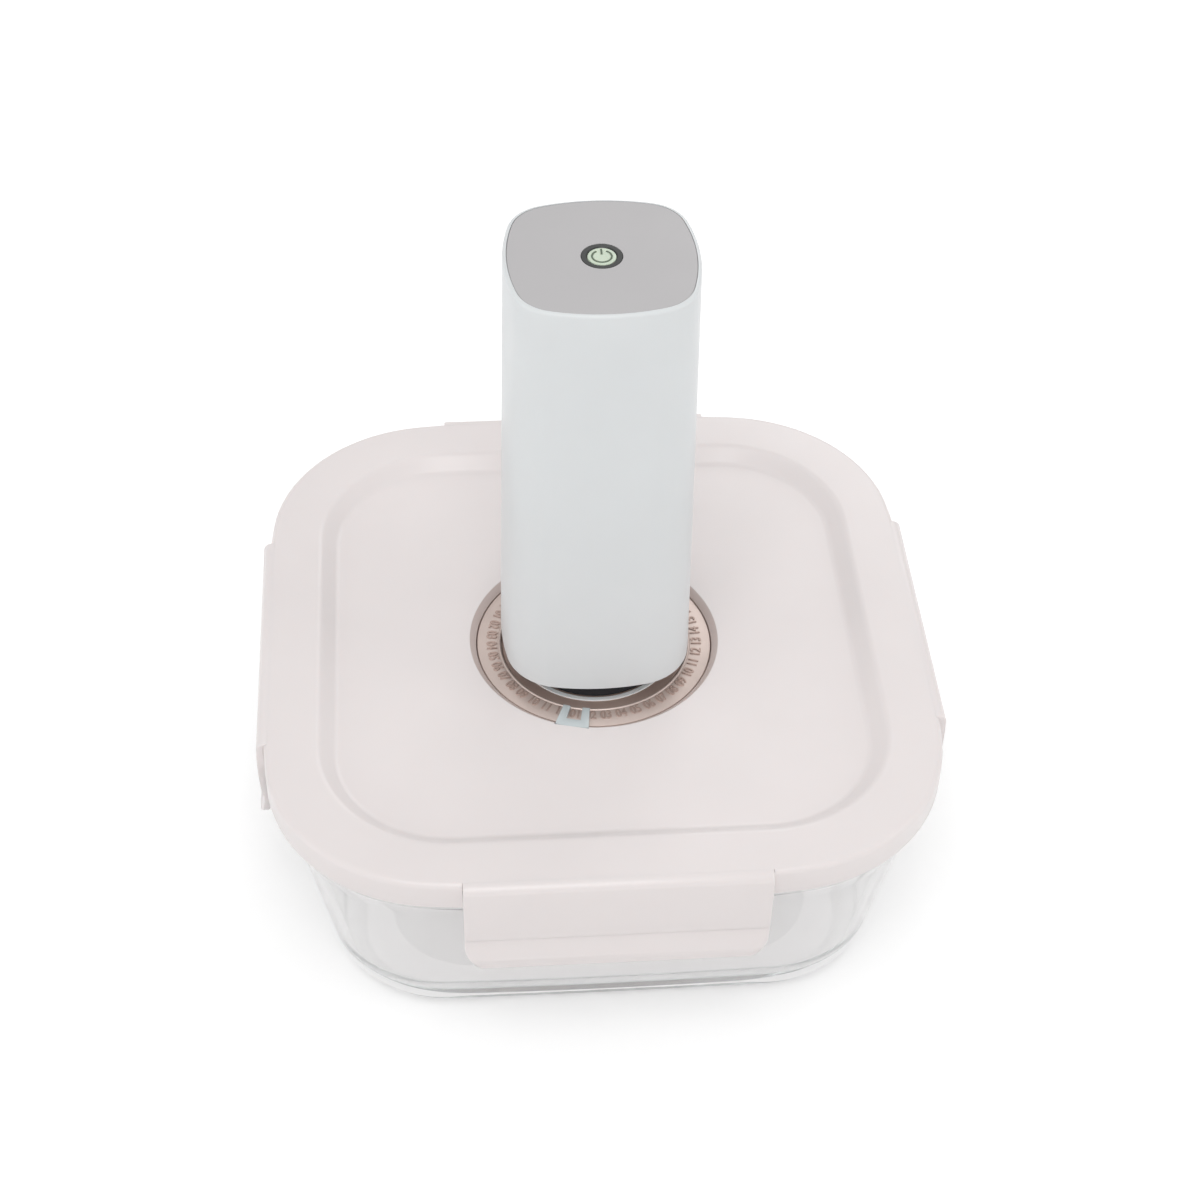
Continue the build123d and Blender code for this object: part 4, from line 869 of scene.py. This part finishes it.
# %% One raised number
def number_text(tree, place, days):
    """Two digits for a place on the ring; after the last day the count starts again."""
    over = maths(tree, "GREATER_THAN", place, maths(tree, "SUBTRACT", days, 0.5))
    count = maths(tree, "SUBTRACT", maths(tree, "ADD", place, 1.0), maths(tree, "MULTIPLY", over, days))
    ones = maths(tree, "MODULO", count, 10.0)
    tens = maths(tree, "FLOOR", maths(tree, "DIVIDE", count, 10.0))
    text = tree.nodes.new("GeometryNodeStringJoin")
    for digit in (ones, tens):
        written = add_node(tree, "FunctionNodeValueToString", {0: digit})
        tree.links.new(written.outputs[0], text.inputs["Strings"])
    return text.outputs[0]


def raised_number(tree, text, given):
    """Solid digits of a text, with a fine round along their outline."""
    glyphs = add_node(tree, "GeometryNodeStringToCurves", {"String": text, "Size": given["Size"]},
                      align_x="CENTER", align_y="MIDDLE")
    plain = add_node(tree, "GeometryNodeRealizeInstances", {"Geometry": glyphs.outputs[0]})
    narrow = add_node(tree, "ShaderNodeCombineXYZ", {"X": given["Narrowing"]}, Y=1.0, Z=1.0)
    slim = add_node(tree, "GeometryNodeTransform", {"Geometry": plain.outputs[0], "Scale": narrow.outputs[0]})
    outline = add_node(tree, "GeometryNodeSetSplineResolution", {"Geometry": slim.outputs[0]}, Resolution=4)
    filled = add_node(tree, "GeometryNodeFillCurve", {0: outline.outputs[0]})
    height = maths(tree, "ADD", given["Raise"], given["Sink"])
    raised = add_node(tree, "GeometryNodeExtrudeMesh", {"Mesh": filled.outputs[0], "Offset Scale": height},
                      Individual=False)
    back = add_node(tree, "GeometryNodeFlipFaces", {"Mesh": filled.outputs[0]})
    profile = add_node(tree, "GeometryNodeCurvePrimitiveCircle", {"Radius": given["Edge"]}, Resolution=6)
    tube = add_node(tree, "GeometryNodeCurveToMesh",
                    {"Curve": outline.outputs[0], "Profile Curve": profile.outputs[0]})
    lift = add_node(tree, "ShaderNodeCombineXYZ", {"Z": maths(tree, "SUBTRACT", height, given["Edge"])})
    rim = add_node(tree, "GeometryNodeTransform",
                   {"Geometry": tube.outputs[0], "Translation": lift.outputs[0]})
    solid = joined(tree, raised.outputs["Mesh"], back.outputs[0], rim.outputs[0])
    merged = add_node(tree, "GeometryNodeMergeByDistance", {"Geometry": solid}, Distance=0.005 * MM)
    return merged.outputs[0]


# %% A tree that sets numbers round a ring
def number_ring_tree():
    """Geometry Nodes tree: raised numbers round a circle, tops towards the middle."""
    sizes = ("Radius", "Size", "Narrowing", "Raise", "Sink", "Edge", "Level", "First Angle")
    tree, given = start_tree("number_ring", {"Count": "Int", "Days": "Int",
                                             **dict.fromkeys(sizes, "Float"), "Finish": "Material"})
    opened = tree.nodes.new("GeometryNodeRepeatInput")
    closed = tree.nodes.new("GeometryNodeRepeatOutput")
    opened.pair_with_output(closed)
    tree.links.new(given["Count"], opened.inputs["Iterations"])
    place = opened.outputs["Iteration"]
    number = raised_number(tree, number_text(tree, place, given["Days"]), given)

    outwards = maths(tree, "MULTIPLY", given["Radius"], -1.0)
    below = maths(tree, "SUBTRACT", given["Level"], given["Sink"])
    shift = add_node(tree, "ShaderNodeCombineXYZ", {"Y": outwards, "Z": below})
    moved = add_node(tree, "GeometryNodeTransform", {"Geometry": number, "Translation": shift.outputs[0]})
    pitch = maths(tree, "DIVIDE", 2 * math.pi, given["Count"])
    angle = maths(tree, "MULTIPLY_ADD", place, pitch, given["First Angle"])
    spin = add_node(tree, "ShaderNodeCombineXYZ", {"Z": angle})
    placed = add_node(tree, "GeometryNodeTransform",
                      {"Geometry": moved.outputs[0], "Rotation": spin.outputs[0]})
    ring = joined(tree, placed.outputs[0], opened.outputs["Geometry"])
    tree.links.new(ring, closed.inputs["Geometry"])
    return end_tree(tree, closed.outputs["Geometry"], given["Finish"])


# %% Days and months
days, months = 31, 12
number_size, number_radius, number_raise, number_sink, number_edge = 3.9, 28.1, 0.25, 0.1, 0.12
# Painted shade: the numbers take the deeper copy of the lacquer, which stands in for the shade along their
# raised edges.
numbers = grown("dial_numbers", number_ring_tree(), {
    "Count": days + months, "Days": days, "Radius": number_radius * MM, "Size": number_size * MM,
    "Narrowing": 0.78, "Raise": number_raise * MM, "Sink": number_sink * MM, "Edge": number_edge * MM,
    "Level": dial_top * MM, "First Angle": marker_angle + math.pi / 2, "Finish": painted_shade_gold})
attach(numbers, "dial")
print("numbers:", len(numbers.data.polygons), "faces")

# %% [markdown]
# ## Pump body
#
# The pump is a tall tapering tube with the same bowed-square outline, a thin wall and a fine round
# at the top, where a grey panel is let in flush. The skin follows the outside up, over the top edge,
# down into the panel's seat, and down the inside to the open end, which the bottom cover closes.
# A rounded slot for the charge socket is then cut through the back.

# %% Pump skin
pump_foot = (half_width("pump_housing"), 15.1, 3.7)       # half width, corner radius and bow
pump_head = (23.6, 11.3, 3.7)
top_round, foot_edge, panel_skin, housing_wall, lip_wall = 0.9, 0.25, 2.0, 2.0, 1.2
ledge_wall, ledge_opening, cover_collar, straight_start, seat_play = 2.0, 18.4, 2.6, 4, 0.02
cover_top = level("bottom_cover", 1) - cover_collar


def pump_loop(inset, z):
    """Loop of the pump's outline at a height, moved inwards."""
    return blended_loop(pump_foot, pump_head, pump_bottom, pump_top, z, inset)


like = pump_loop(0, pump_bottom)
panel_seat = pump_top - panel_skin
loops = [pump_loop(foot_edge, pump_bottom), pump_loop(0, pump_bottom + foot_edge)]
loops += [pump_loop(0, z) for z in np.linspace(pump_bottom + straight_start, pump_top - top_round, 12)]
loops += [pump_loop(-x, z) for x, z in arc(-top_round, pump_top - top_round, top_round, 0, 90, 7)[1:]]
loops += [pump_loop(top_round + seat_play, panel_seat), round_loop(ledge_opening, panel_seat, like),
          round_loop(ledge_opening, panel_seat - ledge_wall, like),
          pump_loop(housing_wall, panel_seat - ledge_wall), pump_loop(housing_wall, cover_top),
          pump_loop(lip_wall, cover_top), pump_loop(lip_wall, pump_bottom)]
housing = stacked_skin("pump_body", loops, closed=True)

# %% Slot for the charge socket
board_top = level("circuit_board", 1)
port_half, port_reach, port_span, port_round = 4.85, (15, 30), (-0.4, 3.6), 1.6
port = box_mesh("port", (-port_half, port_reach[0], board_top + port_span[0]),
                (port_half, port_reach[1], board_top + port_span[1]))
bevel = port.modifiers.new("round", "BEVEL")
bevel.width, bevel.segments = port_round * MM, 5
baked(port)
cut_out(housing, port)
smooth_by_angle(housing.data)
dress(housing, pump_white, "pump", "pump_housing")

# %% Grey panel and dark ring
panel_inset, ring_outer, ring_inner, ring_flange, button_radius = 1.0, 5.0, 3.6, 6.3, 3.5
loops = [pump_loop(panel_inset, panel_seat), pump_loop(panel_inset, pump_top - 0.15),
         pump_loop(panel_inset + 0.12, pump_top - 0.03), pump_loop(panel_inset + 0.3, pump_top)]
loops += [round_loop(ring_outer + gap, z, like)
          for gap, z in ((0.12, pump_top), (0.05, pump_top - 0.07), (0.05, panel_seat))]
panel_piece = stacked_skin("panel_face", loops, closed=True)
dress(panel_piece, panel_grey, "pump", "top_panel")

ring_low, outer_edge, inner_edge = level("button_bezel", 0), 0.15, 0.25
ring_piece = turned("button_ring", [
    (ring_inner, ring_low), (ring_flange, ring_low), (ring_flange, panel_seat), (ring_outer, panel_seat),
    (ring_outer, pump_top - outer_edge), (ring_outer - outer_edge, pump_top),
    (ring_inner + inner_edge, pump_top), (ring_inner, pump_top - inner_edge)])
dress(ring_piece, ring_dark, "pump", "button_bezel")

# %% [markdown]
# ## Power sign
#
# The button is a pale disc, slightly dished, with the common power sign inlaid: a ring with a gap at
# the top and a bar in the gap. Both strokes are curves with a flat profile, made by a small tree.

# %% Button with a dished face
button_low = level("power_button", 0)
button_flange, flange_height, dish_depth = 4.4, 0.8, 0.12
button_face = pump_top - 0.05
button = stacked_skin("button_cap", [
    round_loop(r, z, like) for r, z in (
        (button_flange, button_low), (button_flange, button_low + flange_height),
        (button_radius, button_low + flange_height), (button_radius, pump_top - 0.35),
        (button_radius - 0.1, pump_top - 0.15), (button_radius - 0.35, button_face),
        (2.6, button_face - dish_depth * 0.6), (1.2, button_face - dish_depth * 0.95),
        (0.2, button_face - dish_depth))])
dress(button, button_green, "button", "power_button")


# %% A tree for the sign
def power_sign_tree():
    """Geometry Nodes tree: an open ring and a bar, both with a flat rectangular profile."""
    tree, given = start_tree("power_sign", {
        "Radius": "Float", "Gap Angle": "Float", "Stroke": "Float", "Thickness": "Float",
        "Bar Start": "Vector", "Bar End": "Vector", "Level": "Float", "Finish": "Material"})
    start = maths(tree, "MULTIPLY_ADD", given["Gap Angle"], 0.5, math.pi / 2)
    sweep = maths(tree, "SUBTRACT", 2 * math.pi, given["Gap Angle"])
    ring = add_node(tree, "GeometryNodeCurveArc",
                    {"Radius": given["Radius"], "Start Angle": start, "Sweep Angle": sweep}, Resolution=48)
    bar = add_node(tree, "GeometryNodeCurvePrimitiveLine",
                   {"Start": given["Bar Start"], "End": given["Bar End"]})
    profile = add_node(tree, "GeometryNodeCurvePrimitiveQuadrilateral",
                       {"Width": given["Stroke"], "Height": given["Thickness"]})
    stroke = add_node(tree, "GeometryNodeCurveToMesh",
                      {"Curve": joined(tree, ring.outputs[0], bar.outputs[0]),
                       "Profile Curve": profile.outputs[0]}, Fill_Caps=True)
    lift = add_node(tree, "ShaderNodeCombineXYZ", {"Z": given["Level"]})
    placed = add_node(tree, "GeometryNodeTransform",
                      {"Geometry": stroke.outputs[0], "Translation": lift.outputs[0]})
    return end_tree(tree, placed.outputs[0], given["Finish"])


sign_radius, sign_stroke, sign_thickness, bar_span, sign_depth = 2.35, 0.42, 0.2, (0.8, 2.95), 0.13
sign = grown("power_sign", power_sign_tree(), {
    "Radius": sign_radius * MM, "Gap Angle": math.radians(62), "Stroke": sign_stroke * MM,
    "Thickness": sign_thickness * MM, "Bar Start": (0, bar_span[0] * MM, 0),
    "Bar End": (0, bar_span[1] * MM, 0), "Level": (pump_top - sign_depth) * MM, "Finish": symbol_ink})
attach(sign, "button")
print("power sign:", len(sign.data.polygons), "faces")

# %% [markdown]
# ## Rubber under the pump
#
# The gasket is the black bell that presses on the valve plate, and the cover above it closes the
# pump. The gasket's lip is rounded, because a worn-in rubber edge never looks like a machined one.

# %% Gasket
gasket_top = level("suction_gasket", 1)
foot_outer, foot_wall, foot_height = 20.3, 2.2, 3.2
collar_inner, collar_outer, collar_height = 14.9, 17.3, 3.0
foot_inner, gasket_round, neck_in, neck_up = foot_outer - foot_wall, 0.4, 0.3, 0.1
gasket = turned("gasket_bell", [
    (foot_inner, plate_top + gasket_round), (foot_inner + gasket_round, plate_top),
    (foot_outer - gasket_round, plate_top), (foot_outer, plate_top + gasket_round),
    (foot_outer, plate_top + foot_height - gasket_round),
    (foot_outer - neck_in, plate_top + foot_height + neck_up),
    (collar_outer, gasket_top - collar_height), (collar_outer, gasket_top), (collar_inner, gasket_top),
    (collar_inner, gasket_top - collar_height), (foot_inner, plate_top + foot_height)])
dress(gasket, gasket_black, "pump", "suction_gasket")

# %% [markdown]
# ## The CAD pieces that stay
#
# Pieces inside the pump and under the lid keep their CAD shape, which is right as it is. Each gets
# the finish of its slot in the record. Only their materials change.

# %% Finishes for the rest
slot_of = {entry["node"]: entry["material_slot"] for entry in frame["record"]["subparts"]}
special = {"valve_plug": seal_milky, "lid_seal": seal_milky}
dressed = 0
for name, node in nodes.items():
    finish = special.get(name) or hidden_finishes.get(slot_of[name])
    if finish:
        node.data.materials.clear()
        node.data.materials.append(finish)
        dressed += 1
print("CAD pieces dressed:", dressed, "of", len(nodes))

# %% [markdown]
# ## Floor, room and light
#
# The photograph has a white ground. A floor lit until it clips would burn the pale lid as well, so
# the light stays at a plain level, and the floor adds a little of its own light only where the
# camera or a mirror looks at it. That light grows with the distance from the object, so the floor
# fades into the white room, and the object's shadow still falls on it. Rays that come through the
# glass meet a softer, slightly warm floor, as the dish in the photograph shows it.

# %% Floor
def matt_with_light(tree, grey, light_colour, strength=None):
    """A grey matt surface that also gives off light, at full strength or as an output says."""
    matt = add_node(tree, "ShaderNodeBsdfDiffuse", Color=(grey, grey, grey, 1))
    light = add_node(tree, "ShaderNodeEmission", {"Strength": strength} if strength else None,
                     Color=(*light_colour, 1))
    both = add_node(tree, "ShaderNodeAddShader", {0: matt.outputs[0], 1: light.outputs[0]})
    return both.outputs[0]


def studio_floor():
    """Pale floor: white with a shadow where it is seen straight; where glass shows it, a painted light: a
    soft warm glow that fills the dish's shadow and stands in for the lid's pink bounce.
    """
    material, tree, output, place = empty_material("studio_floor")
    glow_range, glow_reach = (0.32, 0.85), (0.35, 1.6)
    rays = tree.nodes.new("ShaderNodeLightPath").outputs
    seen = maths(tree, "MAXIMUM", rays["Is Camera Ray"], rays["Is Glossy Ray"])
    away = add_node(tree, "ShaderNodeVectorMath", {0: place}, operation="LENGTH")
    glow = maths(tree, "MULTIPLY", seen, ranged(tree, away.outputs["Value"], glow_range, glow_reach))
    straight = matt_with_light(tree, 0.86, (1, 1, 1), glow)
    # Painted light: seen through the glass, the floor is mostly a warm pink glow, which stands in for light
    # bounced from the lid into the dish and fills the shadow under it.
    painted_bounce_floor = matt_with_light(tree, 0.12, (0.78, 0.745, 0.745))
    pick = add_node(tree, "ShaderNodeMixShader",
                    {0: rays["Is Transmission Ray"], 1: straight, 2: painted_bounce_floor})
    tree.links.new(pick.outputs[0], output.inputs["Surface"])
    return material


floor_half = 4.0
floor_level = 0.05 * MM            # glass and floor touch without sharing a plane
floor_mesh = bpy.data.meshes.new("studio_floor")
floor_mesh.from_pydata([(-floor_half, -floor_half, floor_level), (floor_half, -floor_half, floor_level),
                        (floor_half, floor_half, floor_level), (-floor_half, floor_half, floor_level)],
                       [], [(0, 1, 2, 3)])
floor = placed_piece("studio_floor", floor_mesh)
floor.data.materials.append(studio_floor())
print("floor:", 2 * floor_half, "m wide")

# %% Room
world = bpy.data.worlds.new("studio_room")
bpy.context.scene.world = world
world.use_nodes = True
room_tree = world.node_tree
room_tree.nodes.clear()
lit_room, seen_room = 0.66, 1.0
rays = room_tree.nodes.new("ShaderNodeLightPath").outputs
seen = maths(room_tree, "MAXIMUM", rays["Is Camera Ray"], rays["Is Transmission Ray"])
room_strength = ranged(room_tree, seen, (lit_room, seen_room))
room = add_node(room_tree, "ShaderNodeBackground", {"Strength": room_strength}, Color=(1, 1, 1, 1))
add_node(room_tree, "ShaderNodeOutputWorld", {"Surface": room.outputs["Background"]})
print("room light:", lit_room)

# %% Lamps
aim_point = Vector((0, 0, 0.08))
for name, place, size, power in (("front_lamp", (-0.2, -0.85, 1.7), 1.0, 8.5),
                                 ("low_lamp", (0.1, -1.25, 1.3), 0.8, 1.2),
                                 ("left_lamp", (-1.3, -0.3, 0.6), 0.8, 2.0),
                                 ("right_lamp", (1.3, -0.3, 0.6), 0.8, 2.2),
                                 ("back_lamp", (0.4, 1.3, 0.9), 0.6, 2.0)):
    data = bpy.data.lights.new(name, "AREA")
    data.shape, data.size, data.energy = "SQUARE", size, power
    lamp = placed_piece(name, data)
    lamp.rotation_euler = (aim_point - Vector(place)).to_track_quat("-Z", "Y").to_euler()
    lamp.location = place
    print(name, power, "W")

# %% [markdown]
# ## Picture settings
#
# A film-like view would turn the white ground grey, so the plain Standard view shows the colours as
# they are written.

# %% Picture settings
bpy.context.scene.view_settings.view_transform = "Standard"
